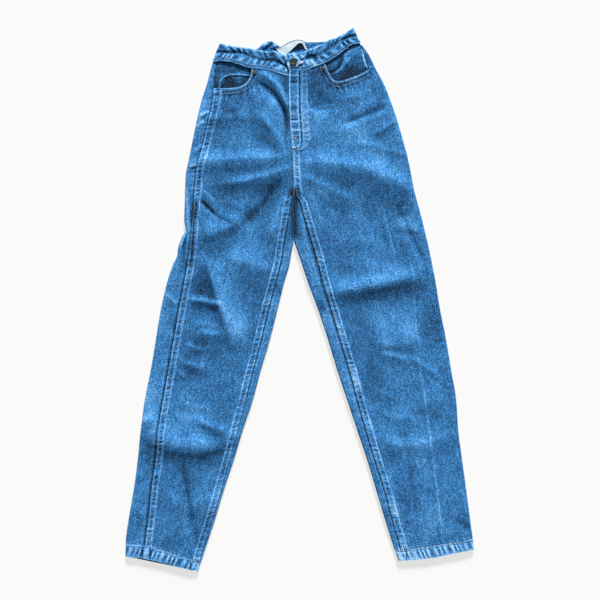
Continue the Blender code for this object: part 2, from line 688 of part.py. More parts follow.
def build_disc(name, place, floor_z, metal):
    """A round head turned from a short profile, standing at the given height."""
    x, y, radius, height = place
    profile = [(0.55, 0), (0.6, 0.35), (1, 0.4), (1, 0.75), (0.8, 1), (0.5, 0.85)]
    sides = 16
    angles = 2 * np.pi * np.arange(sides) / sides
    points, faces = [], []
    for reach, rise in profile:
        for angle in angles:
            across, along = x + reach * radius * np.cos(angle), y + reach * radius * np.sin(angle)
            points.append((across, along, floor_z + rise * height))
    for ring in range(len(profile) - 1):
        for k in range(sides):
            a, b = ring * sides + k, ring * sides + (k + 1) % sides
            faces.append((a, b, b + sides, a + sides))
    faces.append(tuple(range(sides)))
    faces.append(tuple(range(len(points) - sides, len(points))))
    add_object(name, points, faces, metal)


def highest_near(name, place):
    """Highest point of an object within a disc's reach, in millimetres."""
    x, y, radius, _ = place
    heights = [EDGE_Z]
    for vertex in bpy.data.objects[name].data.vertices:
        if np.hypot(vertex.co.x * 1000 - x, vertex.co.y * 1000 - y) < radius + RIVET_SEAT_REACH:
            heights.append(vertex.co.z * 1000)
    return max(heights)


def main():
    """Clear the scene and build the jeans, piece by piece."""
    for item in list(bpy.data.objects):
        bpy.data.objects.remove(item, do_unlink=True)
    denim = finish("denim", DENIM_FINISH)
    cloth = finish("label cloth", LABEL_FINISH)
    button = finish("button metal", BUTTON_FINISH)
    rivet = finish("rivet metal", RIVET_FINISH)
    panels = {}
    for leg in ("right", "left"):
        panels[leg] = build_front(leg, denim)
        build_back(leg, denim)
        build_facing(leg, denim)
        build_front_band(leg, denim)
        build_hem(leg, denim)
        build_back_pocket(leg, denim)
    build_back_band(denim, cloth)
    crotch = ROWS_ABOVE_CROTCH
    build_strip("outseam_right", panels["right"], slice(0, None), slice(0, 2), denim)
    build_strip("inseam_right", panels["right"], slice(crotch, None), INNER_STRIP, denim)
    build_strip("fly", panels["left"], slice(0, FLY_ROWS + 1), INNER_STRIP, denim)
    build_strip("front_rise_seam", panels["left"], slice(FLY_ROWS, crotch + 1), INNER_STRIP, denim)
    build_strip("inseam_left", panels["left"], slice(crotch, None), INNER_STRIP, denim)
    build_disc("waist_button", BUTTON, BUTTON_SEAT_Z + STRIP_GAP, button)
    for leg in ("right", "left"):
        on_panel = highest_near("front_" + leg, RIVETS[leg]) + STRIP_GAP
        build_disc("rivet_" + leg, RIVETS[leg], on_panel, rivet)


main()
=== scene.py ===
"""High-waisted denim jeans, laid flat with the front up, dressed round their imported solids.

Every cloth piece is a grid of points in millimetres. Its plan comes from the
seams and edges of the jeans, its height from functions of x and y that add
folds, puckers and sewn layers to the lie of the cloth, and its wall from
moving the grid in. X runs across towards the wearer's left, Y up the legs,
Z up from the floor.
"""

from math import radians

import bpy
import numpy as np
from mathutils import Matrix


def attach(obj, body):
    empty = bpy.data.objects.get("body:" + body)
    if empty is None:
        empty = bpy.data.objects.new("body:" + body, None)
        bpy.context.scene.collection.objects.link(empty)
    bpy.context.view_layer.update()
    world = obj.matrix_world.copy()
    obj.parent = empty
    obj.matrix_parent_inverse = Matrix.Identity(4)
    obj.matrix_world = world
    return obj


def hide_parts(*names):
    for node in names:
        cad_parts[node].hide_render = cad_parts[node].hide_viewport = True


bl_info = {
    "name": "Laid-out Jeans",
    "version": (1, 0, 0),
    "blender": (4, 5, 0),
    "location": "View3D > Sidebar > Jeans",
    "description": "Models a pair of denim jeans laid flat, with seams, folds, stitching and hardware",
    "category": "Add Mesh",
}

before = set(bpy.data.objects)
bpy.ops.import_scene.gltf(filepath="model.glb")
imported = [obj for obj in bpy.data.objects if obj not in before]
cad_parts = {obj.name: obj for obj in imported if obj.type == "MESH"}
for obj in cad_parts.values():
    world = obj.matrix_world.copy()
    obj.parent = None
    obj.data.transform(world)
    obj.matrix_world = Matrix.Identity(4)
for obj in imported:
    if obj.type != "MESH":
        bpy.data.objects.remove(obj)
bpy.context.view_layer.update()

# Millimetres to metres
MM = 0.001

# Floor: half its width in metres, and its height
FLOOR_HALF = 4.0
FLOOR_Z = -0.3

# Walls and clearances
DENIM = 1.2
BAND_WALL = 2.0
HEM_WALL = 2.0
SEAM_GAP = 0.4
HEM_GAP = 0.5
STRIP_WIDTH = 14.0
STRIP_WALL = 1.3
UNDER_CLEAR = 0.35

# Lie of the cloth
EDGE_Z = 4.8
EDGE_WIDTH = 14.0
UNDER_WIDTH = 4.5
LEAST_LEVEL = 5.2
SEAM_DROP = 1.0
POCKET_LIFT = 1.3
FACING_DROP = 2.4

# Fly
FLY_WIDTH = 40.0
FLY_CURVE_TOP = 332.0
FLY_END = 297.0

# Blocks of the hems where the leg seams cross them: from x, to x
HEM_BLOCKS = {"right": [(-314, -299), (-218, -200)], "left": [(194, 212)]}

# Places where rows of points change count
CROTCH_Y = 205.0
CENTRE_BACK_X = -12.0
ROWS_ABOVE_CROTCH = 11
ROWS_BELOW_CROTCH = 32
YOKE_ROWS = 3
YOKE_END = 410.0
FLY_ROWS = 7

# Columns of a back panel that show in front: beside the outseam with the edge, beside the inseam
OUTER_COLUMNS = 15
INNER_COLUMNS = 11

# Level of the top layer: y, z
LEVEL = [(545, 6.4), (450, 6.6), (370, 10.2), (-420, 10.2), (-490, 7.0), (-545, 6.8)]

# Silhouette of each leg: y, x. "right" is the wearer's right, at -X
OUTER = {
    "right": [
        (511, -160), (487, -170), (471, -175), (429, -186), (399, -196), (339, -210), (279, -222),
        (249, -228), (189, -230), (159, -231), (138, -228), (126, -235), (99, -244), (89, -245),
        (69, -254), (39, -264), (-21, -278), (-81, -288), (-141, -298), (-201, -310), (-261, -318),
        (-321, -324), (-381, -332), (-441, -342), (-491, -348), (-514, -348),
    ],
    "left": [
        (543, 106), (511, 122), (487, 138), (459, 152), (429, 168), (399, 180), (339, 200),
        (279, 216), (219, 228), (159, 244), (99, 258), (39, 270), (-21, 280), (-81, 292),
        (-141, 302), (-201, 312), (-261, 316), (-321, 324), (-381, 332), (-441, 340), (-499, 348),
    ],
}
INNER = {
    "right": [
        (205, -12.02), (119, -12.02), (99, -16), (69, -21), (39, -30), (-21, -45), (-81, -60),
        (-141, -78), (-201, -94), (-261, -114), (-321, -132), (-381, -152), (-441, -170),
        (-501, -190), (-543, -204),
    ],
    "left": [
        (205, -11.98), (119, -11.98), (99, -6), (69, 4), (39, 14), (-21, 36), (-81, 56), (-141, 74),
        (-201, 94), (-261, 114), (-321, 134), (-381, 152), (-441, 170), (-491, 186), (-521, 196),
    ],
}

# Seams down the front: y, x
OUTSEAM = {
    "right": [
        (473, -166), (449, -170), (421, -172), (399, -174), (339, -187), (299, -196), (259, -206),
        (219, -210), (139, -217), (99, -220), (59, -226), (-21, -241), (-101, -255), (-181, -269),
        (-261, -282), (-301, -285), (-381, -296), (-421, -300), (-491, -309),
    ],
    "left": [
        (511, 119), (495, 127), (479, 132), (463, 136), (447, 147), (429, 161), (399, 177),
        (339, 197), (279, 213), (219, 225), (159, 241), (99, 255), (39, 267), (-21, 277),
        (-81, 289), (-141, 299), (-201, 309), (-261, 313), (-321, 321), (-381, 329),
        (-441, 337), (-499, 345),
    ],
}
INSEAM = {
    "right": [
        (205, -16), (159, -24), (119, -32), (79, -38), (39, -48), (-21, -64), (-81, -78),
        (-141, -94), (-201, -109), (-261, -125), (-321, -141), (-381, -158), (-441, -176),
        (-501, -195), (-521, -200),
    ],
    "left": [
        (205, -8), (193, 1), (179, 5), (159, 11), (119, 23), (79, 35), (39, 45), (-21, 63),
        (-81, 81), (-141, 99), (-201, 115), (-261, 132), (-321, 150), (-381, 169), (-441, 185),
        (-501, 202), (-521, 206),
    ],
}
CENTRE_FRONT = [(457, -22), (399, -22), (349, -20), (319, -17), (299, -15), (249, -13), (219, -12)]

# Seams across the front: x, y
POCKET_MOUTH = {
    "right": [
        (-172, 421), (-166, 421), (-144, 421), (-126, 423), (-114, 427), (-106, 433), (-101, 441),
        (-97, 453), (-96, 459),
    ],
    "left": [
        (137, 459), (130, 455), (110, 445), (90, 438), (76, 435), (68, 437), (62, 443),
        (58, 451), (53, 459), (50, 470),
    ],
}
WAIST_SEAM = {
    "right": [(-174.5, 473), (-160, 475), (-140, 473), (-120, 467), (-96, 460), (-80, 459), (-60, 456),
              (-40, 449), (-22, 445)],
    "left": [(122, 511), (106, 508), (78, 488), (50, 471), (26, 462), (8, 456), (-22, 457)],
}
# The waist seam over a front panel between its pocket and its centre, and over a facing: x, y
PANEL_WAIST = {"right": WAIST_SEAM["right"][5:-1], "left": WAIST_SEAM["left"][4:-1]}
FACING_WAIST = {
    "right": WAIST_SEAM["right"][:4] + [(-86, 459)],
    "left": WAIST_SEAM["left"][:3] + [(40, 468)],
}
HEM_SEAM = {
    "right": [(-348, -489), (-320, -490), (-300, -493), (-280, -499), (-260, -505), (-240, -513),
              (-220, -518), (-200, -521), (-190, -522)],
    "left": [(348, -476), (320, -483), (286, -488), (240, -495), (206, -499), (186, -501)],
}
HEM_END = {
    "right": [(-348, -513), (-320, -515), (-300, -519), (-270, -526), (-240, -534), (-204, -543)],
    "left": [(348, -499), (300, -508), (260, -516), (220, -520), (196, -521)],
}
BAND_TOP = {
    "right": [(-160, 511), (-136, 506), (-116, 503), (-100, 501), (-86, 498), (-66, 495), (-54, 497),
              (-44, 493), (-34, 486)],
    "left": [(106, 543), (99, 538), (71, 522), (56, 517), (40, 508), (22, 501), (0, 493), (-20, 491),
             (-32, 487)],
}
FRONT_TOP = np.array(sorted(BAND_TOP["right"] + BAND_TOP["left"]), dtype=float)
BACK_WAIST = [(-174, 472), (-12, 476), (121, 508)]
BACK_TOP = [
    (-158, 507), (-120, 500), (-96, 498), (-86, 501), (-76, 509), (-68, 514), (-58, 516),
    (-50, 512), (-38, 505), (-32, 508), (-24, 514), (-6, 519), (4, 517), (14, 514), (30, 514),
    (44, 515), (56, 516), (72, 519), (88, 527), (104, 537),
]
FACING_END = {
    "right": [(-171, 409), (-144, 409), (-122, 411), (-104, 420), (-92, 436), (-85, 452)],
    "left": [(145, 447), (132, 443), (114, 434), (96, 427), (78, 423), (62, 428), (52, 440), (41, 462)],
}

# Folds: x0, y0, x1, y1, reach on the left of the way, reach on the right, height, bend
FOLD_SCALE = 1.9
FOLDS = [
    (-84, 455, -26, 379, 8, 8, 1.9, 13),
    (-82, 430, -24, 331, 6, 6, -2.6, 16),
    (-84, 371, -24, 283, 12, 12, 2.2, 5),
    (-184, 361, -108, 363, 8, 12, 1.2, 0),
    (-208, 275, -20, 281, 14, 26, 3.0, 2),
    (-152, 229, -16, 263, 9, 18, 2.6, -4),
    (-26, 209, -58, 119, 9, 10, 1.7, 0),
    (-44, 229, -112, 149, 12, 12, -2.2, 3),
    (-198, 197, -167, 167, 3, 4, -2.0, 0),
    (-198, 125, -116, 151, 20, 16, 2.0, 0),
    (-198, 189, -226, 71, 16, 8, 2.0, 0),
    (-188, 78, -134, -92, 30, 13, 3.8, 2),
    (-146, 83, -56, 61, 24, 22, 2.4, 0),
    (-64, 69, -76, -21, 12, 24, 1.6, 0),
    (-222, 1, -160, -11, 6, 12, 2.4, 2),
    (-204, -66, -156, -70, 5, 12, 1.5, 0),
    (-230, -123, -188, -135, 5, 11, 1.8, 0),
    (-318, -241, -282, -243, 22, 12, 2.0, 0),
    (-212, -235, -144, -263, 6, 12, 1.6, -3),
    (-314, -256, -132, -272, 24, 26, 3.3, -27),
    (-256, -411, -164, -405, 30, 22, 1.4, 0),
    (-234, -325, -216, -475, 7, 7, -1.2, 0),
    (18, 381, 72, 387, 26, 8, -2.2, -4),
    (92, 349, 176, 384, 8, 6, -1.8, 0),
    (150, 329, 198, 359, 7, 9, 1.4, 0),
    (4, 271, 104, 267, 18, 28, 3.0, 3),
    (96, 273, 226, 208, 18, 36, 3.4, 7),
    (0, 249, 108, 195, 9, 22, 1.9, 0),
    (190, 189, 246, 75, 6, 8, -1.4, 0),
    (196, 147, 240, 135, 18, 8, 1.4, 0),
    (60, 15, 240, 51, 22, 20, 3.5, -4),
    (150, -95, 240, -83, 40, 14, 2.2, 0),
    (160, -109, 216, -123, 6, 12, 1.5, 3),
    (218, -115, 276, -155, 6, 9, 1.1, 2),
    (236, -205, 290, -203, 16, 10, 0.8, 0),
    (156, -277, 284, -273, 16, 24, 1.7, -16),
    (210, -281, 230, -441, 9, 9, -1.4, 0),
]

# Smaller creases, finer than the solids hold: the same columns
CREASES = [
    (-200, 365, -182, 375, 3, 4, 1.6, 0),
    (-207, 344, -192, 355, 3, 4, 1.6, 0),
    (-212, 294, -194, 309, 3, 4, 1.5, 0),
    (-222, 265, -206, 267, 3, 4, 1.5, 0),
    (-167, 167, -130, 151, 3, 3, -1.0, 0),
    (-150, 197, -112, 181, 6, 8, 1.2, 0),
    (-212, -47, -160, -57, 4, 6, 1.5, 2),
    (-226, -87, -196, -103, 4, 7, 1.8, 0),
    (-200, -102, -176, -98, 4, 5, 0.9, 0),
    (-268, 13, -240, -9, 5, 8, 2.0, -2),
    (-238, -143, -228, -159, 4, 5, 1.2, 0),
    (-232, -211, -184, -219, 4, 8, 1.2, 3),
    (-216, -391, -212, -433, 3, 6, 0.9, 0),
    (-206, -461, -204, -503, 6, 6, -1.4, 0),
    (-330, -341, -312, -361, 5, 7, 1.2, 0),
    (20, 375, 72, 387, 3, 6, 1.2, 2),
    (84, 399, 134, 409, 6, 8, 1.2, 0),
    (60, 337, 104, 343, 8, 9, 1.1, -2),
    (110, 311, 168, 297, 7, 9, 1.3, 2),
    (166, 299, 200, 291, 5, 6, 1.2, 0),
    (222, -51, 226, -111, 3, 7, 1.0, 0),
    (200, 239, 226, 229, 8, 8, 1.2, 0),
    (60, 187, 92, 163, 8, 12, -1.6, 0),
    (110, 119, 150, 105, 9, 12, 1.2, 3),
    (120, 71, 196, 63, 7, 9, 0.9, -2),
    (146, -181, 190, -195, 8, 12, 1.4, 0),
    (190, -231, 236, -241, 6, 9, 1.1, 0),
    (310, -443, 342, -461, 8, 8, -1.4, 0),
    (232, -365, 262, -373, 7, 9, 1.0, 0),
    (166, 175, 200, -59, 3, 5, 0.5, 6),
    (224, -81, 282, -477, 3, 5, 0.6, 6),
]

# Patches and streaks painted lighter or darker: some are fading of the wash, the rest painted
# highlights on the crests of folds and painted shade below folds and beside seams. The same
# columns, with the change of colour in place of a height
WASH_LIGHT_AND_SHADE = [
    (10, 345, 160, 335, 48, 40, 0.30, 0),
    (140, 281, 214, 249, 20, 18, 0.17, 0),
    (24, 440, 40, 380, 22, 20, -0.3, 0),
    (10, 250, 150, 244, 10, 26, -0.30, 0),
    (150, 236, 226, 198, 20, 22, -0.26, 0),
    (204, 166, 228, 124, 14, 14, 0.24, 0),
    (120, 210, 160, 204, 30, 50, -0.12, 0),
    (-96, 419, -44, 389, 16, 16, 0.22, 0),
    (-186, 349, -110, 354, 14, 20, -0.12, 0),
    (-206, 256, -30, 262, 12, 14, -0.26, 0),
    (-176, 220, -44, 228, 12, 16, -0.26, 0),
    (-36, 195, -60, 130, 14, 10, 0.22, 0),
    (-212, 205, -216, 70, 4, 4, -0.9, 0),
    (-226, 221, -222, 130, 3.5, 4, 0.75, 0),
    (-228, 133, -239, 105, 2, 2, 0.9, 0),
    (-226, 131, -234, 99, 2, 2, -0.8, 0),
    (-200, 365, -182, 375, 2.5, 3, 0.55, 0),
    (-197, 360, -184, 369, 2.5, 3, -0.5, 0),
    (-207, 344, -192, 355, 2.5, 3, 0.55, 0),
    (-212, 294, -194, 309, 2.5, 3, 0.55, 0),
    (-207, 288, -194, 301, 2.5, 3, -0.45, 0),
    (-222, 265, -206, 267, 2.5, 3, 0.55, 0),
    (-220, 260, -206, 261, 2.5, 3, -0.45, 0),
    (-214, -10, -164, -20, 5, 9, -0.35, 0),
    (-206, -82, -168, -88, 6, 9, -0.3, 0),
    (-232, -112, -196, -128, 4, 7, -0.3, 0),
    (162, 189, 196, 63, 2, 2, 0.35, 0),
    (-190, 150, -130, 150, 18, 18, 0.18, 0),
    (-172, 40, -124, -86, 26, 16, 0.1, 0),
    (-206, 50, -170, -8, 10, 16, -0.2, 0),
    (-214, -96, -160, -110, 10, 12, -0.22, 0),
    (-226, -140, -180, -152, 4, 14, -0.3, 0),
    (-130, 50, -66, 10, 20, 26, -0.2, 0),
    (-262, -236, -170, -256, 34, 26, 0.2, 0),
    (-318, -276, -132, -290, 6, 26, -0.62, -26),
    (-316, -300, -286, -330, 14, 16, -0.3, 0),
    (-304, -170, -316, -246, 14, 14, 0.3, 0),
    (60, 4, 244, 36, 6, 20, -0.5, -3),
    (60, 25, 232, 59, 14, 8, 0.16, -3),
    (150, -45, 236, -40, 36, 36, 0.16, 0),
    (262, -10, 284, -96, 14, 14, -0.26, 0),
    (112, -10, 156, -190, 14, 14, -0.16, 0),
    (200, -226, 296, -222, 9, 12, -0.22, 0),
    (172, -306, 226, -350, 22, 16, -0.2, 0),
    (258, -296, 310, -306, 12, 24, -0.24, 0),
    (206, -360, 222, -470, 14, 14, -0.16, 0),
    (156, -272, 290, -266, 9, 6, 0.2, -18),
    (242, -150, 284, -478, 1.8, 2.5, 0.4, 2),
    (226, 60, 236, -90, 1.8, 2.2, 0.3, -3),
    (-94, 443, -24, 331, 4, 3, -0.55, 18),
    (-31, 395, -26, 300, 4, 4, -0.35, 0),
    (-84, 455, -26, 379, 8, 6, 0.3, 13),
    (-124, 409, -84, 397, 12, 12, -0.3, 0),
    (-32, 458, -25, 395, 9, 6, -0.5, 0),
    (-42, 229, -112, 149, 12, 12, -0.34, 3),
    (-80, 325, -40, 293, 8, 10, -0.36, 0),
    (-158, 380, -124, 372, 10, 10, -0.28, 0),
    (-199, 199, -167, 167, 2.5, 2.5, -0.9, 0),
    (-167, 167, -132, 151, 2, 2, -0.7, 0),
    (-194, 219, -168, 195, 3, 3, 0.45, 0),
    (10, 452, 60, 460, 12, 14, -0.34, 0),
    (20, 227, 60, 207, 10, 12, 0.3, 0),
    (24, 215, 40, 139, 14, 12, 0.2, 0),
    (6, 232, 44, 150, 8, 8, 0.22, 0),
    (-26, 160, -30, 100, 6, 6, -0.35, 0),
    (-222, 40, -190, 12, 12, 14, -0.32, 0),
    (-150, 28, -112, -80, 30, 34, 0.1, 0),
    (-200, -246, -146, -278, 9, 12, -0.6, 0),
    (-236, -330, -206, -484, 4, 5, -0.25, 4),
    (-262, -372, -246, -408, 8, 8, 0.25, 0),
    (-216, -344, -172, -346, 14, 12, 0.16, 0),
    (-188, 68, -152, -60, 3, 15, -0.36, 0),
    (-180, 68, -144, -48, 14, 3, 0.14, 0),
    (110, -90, 270, -100, 60, 60, 0.1, 0),
    (-226, 3, -166, -5, 2, 3, 0.35, 2),
    (-214, -51, -166, -60, 2, 3, 0.3, 2),
    (-230, -88, -204, -98, 2, 3, 0.35, 1),
    (-236, -120, -190, -137, 2, 3, 0.35, -3),
    (-243, -140, -229, -156, 2, 2.5, 0.35, 0),
    (-112, 149, -190, 112, 11, 13, -0.26, 0),
    (-266, 14, -244, -8, 2.5, 3, 0.45, -2),
    (-256, -10, -252, -62, 8, 8, -0.25, 0),
    (-54, 40, -34, 8, 6, 6, -0.32, 0),
    (-58, 0, -43, -24, 5, 5, 0.36, 0),
    (-75, -34, -66, -68, 5, 5, 0.3, 0),
    (170, -215, 300, -215, 44, 44, 0.12, 0),
    (250, -316, 264, -490, 14, 14, 0.16, 0),
    (168, -308, 212, -490, 8, 6, 0.24, 0),
    (232, -300, 268, -480, 46, 46, 0.12, 0),
    (132, 492, 140, 468, 5, 5, -0.5, 0),
    (-232, -80, -202, -84, 8, 8, -0.22, 0),
    (-236, -165, -226, -206, 16, 16, 0.2, 0),
    (200, -296, 236, -330, 14, 14, 0.2, 0),
    (38, 4, 46, -24, 6, 6, -0.7, 0),
    (76, -41, 90, -101, 6, 6, 0.5, 0),
    (104, -131, 116, -181, 6, 6, 0.45, 0),
    (136, -241, 150, -281, 6, 6, 0.45, 0),
    (160, -341, 176, -371, 6, 6, 0.45, 0),
    (180, -391, 194, -441, 6, 6, 0.5, 0),
    (200, -471, 210, -508, 6, 6, 0.5, 0),
    (-64, 215, -104, 182, 8, 8, 0.2, 0),
    (-96, 165, -146, 137, 9, 9, -0.28, 0),
    (82, 140, 98, 70, 16, 16, 0.13, 0),
    (-205, 194, -212, 150, 5, 6, -0.35, 0),
    (-227, 118, -234, 50, 8, 6, -0.35, 0),
    (-128, -30, -108, -92, 18, 18, 0.18, 0),
    (-146, 0, -137, -58, 7, 8, -0.12, 0),
    (50, 6, 130, 12, 8, 14, 0.28, 0),
    (176, -160, 196, -232, 12, 14, -0.15, 0),
    (197, 350, 218, 285, 12, 10, 0.28, 0),
    (-174, 466, -204, 345, 6, 10, 0.26, 0),
]

# Creases in the cloth underneath, where the legs lie on the floor: the columns of the folds, with
# the height that each lifts the cloth
UNDER_CREASES = [
    (-214, 236, -60, 252, 9, 7, 0.7, 4),
    (-200, 180, -110, 168, 7, 10, 1.1, -3),
    (-240, 60, -90, 38, 10, 8, 1.4, 5),
    (-262, -20, -120, -44, 8, 11, 1.3, -4),
    (-250, -62, -170, -60, 6, 8, 0.9, 0),
    (-290, -190, -190, -172, 9, 7, 1.0, 3),
    (-318, -330, -220, -352, 8, 10, 1.2, -5),
    (18, 246, 160, 226, 8, 9, 0.7, -4),
    (60, 150, 200, 176, 10, 7, 1.2, 3),
    (70, 20, 230, 44, 9, 10, 1.4, -5),
    (110, -48, 250, -30, 8, 7, 1.1, 4),
    (190, -96, 280, -104, 6, 8, 0.8, 0),
    (140, -210, 270, -226, 8, 10, 1.1, 3),
    (190, -372, 300, -356, 9, 8, 1.2, -4),
]

# Folds in the facings: the same columns as the other folds
FACING_FOLDS = {
    "right": [
        (-168, 427, -150, 449, 4, 5, 0.5, 3),
        (-150, 436, -132, 430, 8, 8, -0.6, 0),
    ],
    "left": [
        (86, 486, 57, 450, 2, 4, -1.2, 8),
        (92, 487, 66, 449, 4, 4, 1.1, 8),
        (100, 483, 93, 469, 2, 2, 0.9, 0),
        (128, 470, 88, 452, 9, 12, -0.5, 0),
    ],
}

# Edge of the layer seen in each pocket: the facing over the pocket bag, and the side seam: x, y
FACING_EDGE = {
    "right": [(-162, 421), (-159, 433), (-152, 443), (-140, 448), (-124, 449), (-102, 447)],
    "left": [(124, 501), (126, 487), (129, 474), (136, 461)],
}

# Pinched creases in the waistband beside the button, painted lighter on their crests and darker in their
# troughs as painted highlight and shade
BAND_PINCHES = [
    (-14, 489, 0, 475, 2, 2, 1.2, 0),
    (0, 489, 12, 477, 2, 2, 0.9, 0),
    (-10, 480, 6, 464, 3, 3, -1.0, 0),
    (12, 479, 34, 466, 2, 3, 0.8, 0),
    (14, 489, 40, 480, 3, 3, -0.8, 0),
    (-8, 473, 6, 474, 2, 2, 1.4, 0),
    (-4, 467, 8, 465, 2, 2, 0.9, 0),
]

# Lapped end of the waistband beside the button: x, y
LAP = [(-32, 487), (-22, 457)]

# Folds in the back waistband where the neckline shows it
NECK_FOLDS = [
    (-80, 498, -64, 512, 3, 4, 1.3, 0),
    (-72, 497, -56, 510, 3, 3, -1.5, 0),
    (-60, 498, -44, 510, 4, 4, 1.3, 0),
    (8, 500, 34, 506, 4, 3, 0.9, 0),
    (16, 502, 60, 510, 3, 3, -1.3, 0),
]

# Label in the back waistband: height and wall, then x, y of its upper and its lower edge
LABEL_Z = 4.2
LABEL_WALL = 0.6
LABEL_TOP = [
    (-47, 501), (-40, 503), (-30, 510), (-18, 516), (-4, 519), (5, 517), (11, 509), (14.5, 501),
]
LABEL_BOTTOM = [
    (-43, 494), (-33, 488), (-22, 494), (-10, 505), (0, 512), (4, 511.5), (7.5, 506), (11, 499),
]

# Back patch pockets
POCKET_HALF_TOP = 62.0
POCKET_HALF_BOTTOM = 56.0
POCKET_TOP_Y = 412.0
POCKET_SIDE_Y = 290.0
POCKET_TIP_Y = 268.0
POCKET_CENTRE = {"right": -92.0, "left": 74.0}

# Pinched places down the fly: y
FLY_BARS = (441, 433, 381, 358, 323, 300)

# Pale ledges across the fly: y
FLY_LEDGES = (446, 368, 355, 338)

# Hardware: x, y, radius. The forms are profiles from the foot over the rim to the middle: share
# of the radius, height
BUTTON = (-13, 474, 7.0)
BUTTON_SEAT_Z = 8.6
BUTTON_SEAT_REACH = 17.0
RIVETS = {"right": (-91, 452, 3.6), "left": (46, 461, 3.6)}
BUTTON_FORM = [
    (0.5, 0.2), (0.62, 0.2), (0.62, 1.0), (0.96, 1.1), (1.0, 1.4), (1.0, 1.9), (0.95, 2.3),
    (0.86, 2.5), (0.76, 2.45), (0.68, 2.1), (0.6, 1.9), (0.4, 1.95), (0.2, 2.2), (0.08, 2.3),
]
RIVET_FORM = [
    (0.5, 0.1), (0.9, 0.1), (1.0, 0.35), (0.96, 0.8), (0.8, 1.05), (0.62, 0.95),
    (0.5, 0.8), (0.34, 0.95), (0.18, 1.25), (0.06, 1.35),
]
BAR_TACKS = [((7, 334), (14, 334)), ((-16, 321), (-7, 321)), ((-15, 302), (-8, 302))]
BUTTONHOLE_HALF = 1.7
BUTTONHOLE = [(-4, 470.5), (2, 472.5), (8, 474.5)]

LEGS = ("right", "left")

# Way from the middle out to each leg, along X
SIDE = {"right": -1, "left": 1}

# Least and most fading and painted shade of the cloth, past which its colour no longer changes
WEAR_AND_SHADE_LIMITS = (-1.2, 1.5)


def curve(table, at):
    """A smooth function through a table's rows (position, value), which never overshoots them:
    cubic Hermite pieces whose slopes are the harmonic means of their neighbours' slopes."""
    rows = np.array(sorted(table), dtype=float)
    knots, values = rows[:, 0], rows[:, 1]
    secants = np.diff(values) / np.diff(knots)
    before, after = secants[:-1], secants[1:]
    total = np.where(before * after > 0, before + after, 1)
    inner = np.where(before * after > 0, 2 * before * after / total, 0)
    slopes = np.concatenate([secants[:1], inner, secants[-1:]])
    at = np.clip(at, knots[0], knots[-1])
    low = np.clip(np.searchsorted(knots, at) - 1, 0, len(knots) - 2)
    span = knots[low + 1] - knots[low]
    s = (at - knots[low]) / span
    start = (1 + 2 * s) * (1 - s) ** 2 * values[low] + s * (1 - s) ** 2 * span * slopes[low]
    end = s ** 2 * (3 - 2 * s) * values[low + 1] - s ** 2 * (1 - s) * span * slopes[low + 1]
    return start + end


def path(points, u):
    """Points at the shares u of the length of a smooth line through the given points."""
    points = np.array(points, dtype=float)
    steps = np.hypot(*np.diff(points, axis=0).T)
    length = np.concatenate([[0], np.cumsum(steps)]) / steps.sum()
    across = curve(list(zip(length, points[:, 0])), u)
    along = curve(list(zip(length, points[:, 1])), u)
    return np.stack([across, along], axis=-1)


def smooth_step(low, high, at):
    """0 below low, 1 above high, and a cubic rise between."""
    s = np.clip((at - low) / (high - low), 0, 1)
    return s * s * (3 - 2 * s)


def bell(at, centre, width):
    """A bell curve: 1 at the centre, and down to 0.37 at the given width from it."""
    return np.exp(-((at - centre) / width) ** 2)


def quarter_round(distance, width):
    """0 at an edge, rising as a quarter circle to 1 at the given width inside it."""
    return np.sqrt(1 - (1 - np.clip(distance / width, 0, 1)) ** 2)


def uneven_wave(turns, seed=0.0):
    """A wave of about one cycle for each turn, whose cycles differ in length and height."""
    phase = turns + 0.22 * np.sin(1.9 * turns + seed) + 0.16 * np.sin(0.83 * turns + 2 * seed)
    size = 0.75 + 0.25 * np.sin(1.37 * turns + 3 * seed)
    return size * np.sin(2 * np.pi * phase)


def fold_sum(table, x, y):
    """Sum of a table's folds. Each is a ridge or trough along a parabola between its two
    ends, a little sharper than a bell, with its own reach on each side, and dies away at the ends."""
    total = np.zeros_like(x)
    for x0, y0, x1, y1, left, right, height, bend in table:
        length = np.hypot(x1 - x0, y1 - y0)
        way_x, way_y = (x1 - x0) / length, (y1 - y0) / length
        along = ((x - x0) * way_x + (y - y0) * way_y) / length
        inside = np.clip(along, 0, 1)
        off = (y - y0) * way_x - (x - x0) * way_y - bend * 4 * inside * (1 - inside)
        reach = np.where(off > 0, left, right)
        ends = smooth_step(-0.12, 0.2, along) * smooth_step(-0.12, 0.2, 1 - along)
        total += FOLD_SCALE * height * ends * np.exp(-np.abs(off / reach) ** 1.6)
    return total


def nearest_on(points, x, y):
    """Distance from each (x, y) to a line of close points, and the place along the line."""
    line = path(points, np.linspace(0, 1, 90))
    steps = np.hypot(*np.diff(line, axis=0).T)
    along = np.concatenate([[0], np.cumsum(steps)])
    gaps = (x[..., None] - line[:, 0]) ** 2 + (y[..., None] - line[:, 1]) ** 2
    nearest = gaps.argmin(axis=-1)
    return np.sqrt(gaps.min(axis=-1)), along[nearest]


def edge_factor(leg, x, y, width):
    """Product of the quarter rounds at the outer and inner silhouettes of a leg."""
    from_outer = np.abs(x - curve(OUTER[leg], y))
    from_inner = np.abs(x - curve(INNER[leg], y))
    from_inner = np.hypot(from_inner, np.maximum(y - CROTCH_Y, 0))
    return quarter_round(from_outer, width) * quarter_round(from_inner, width)


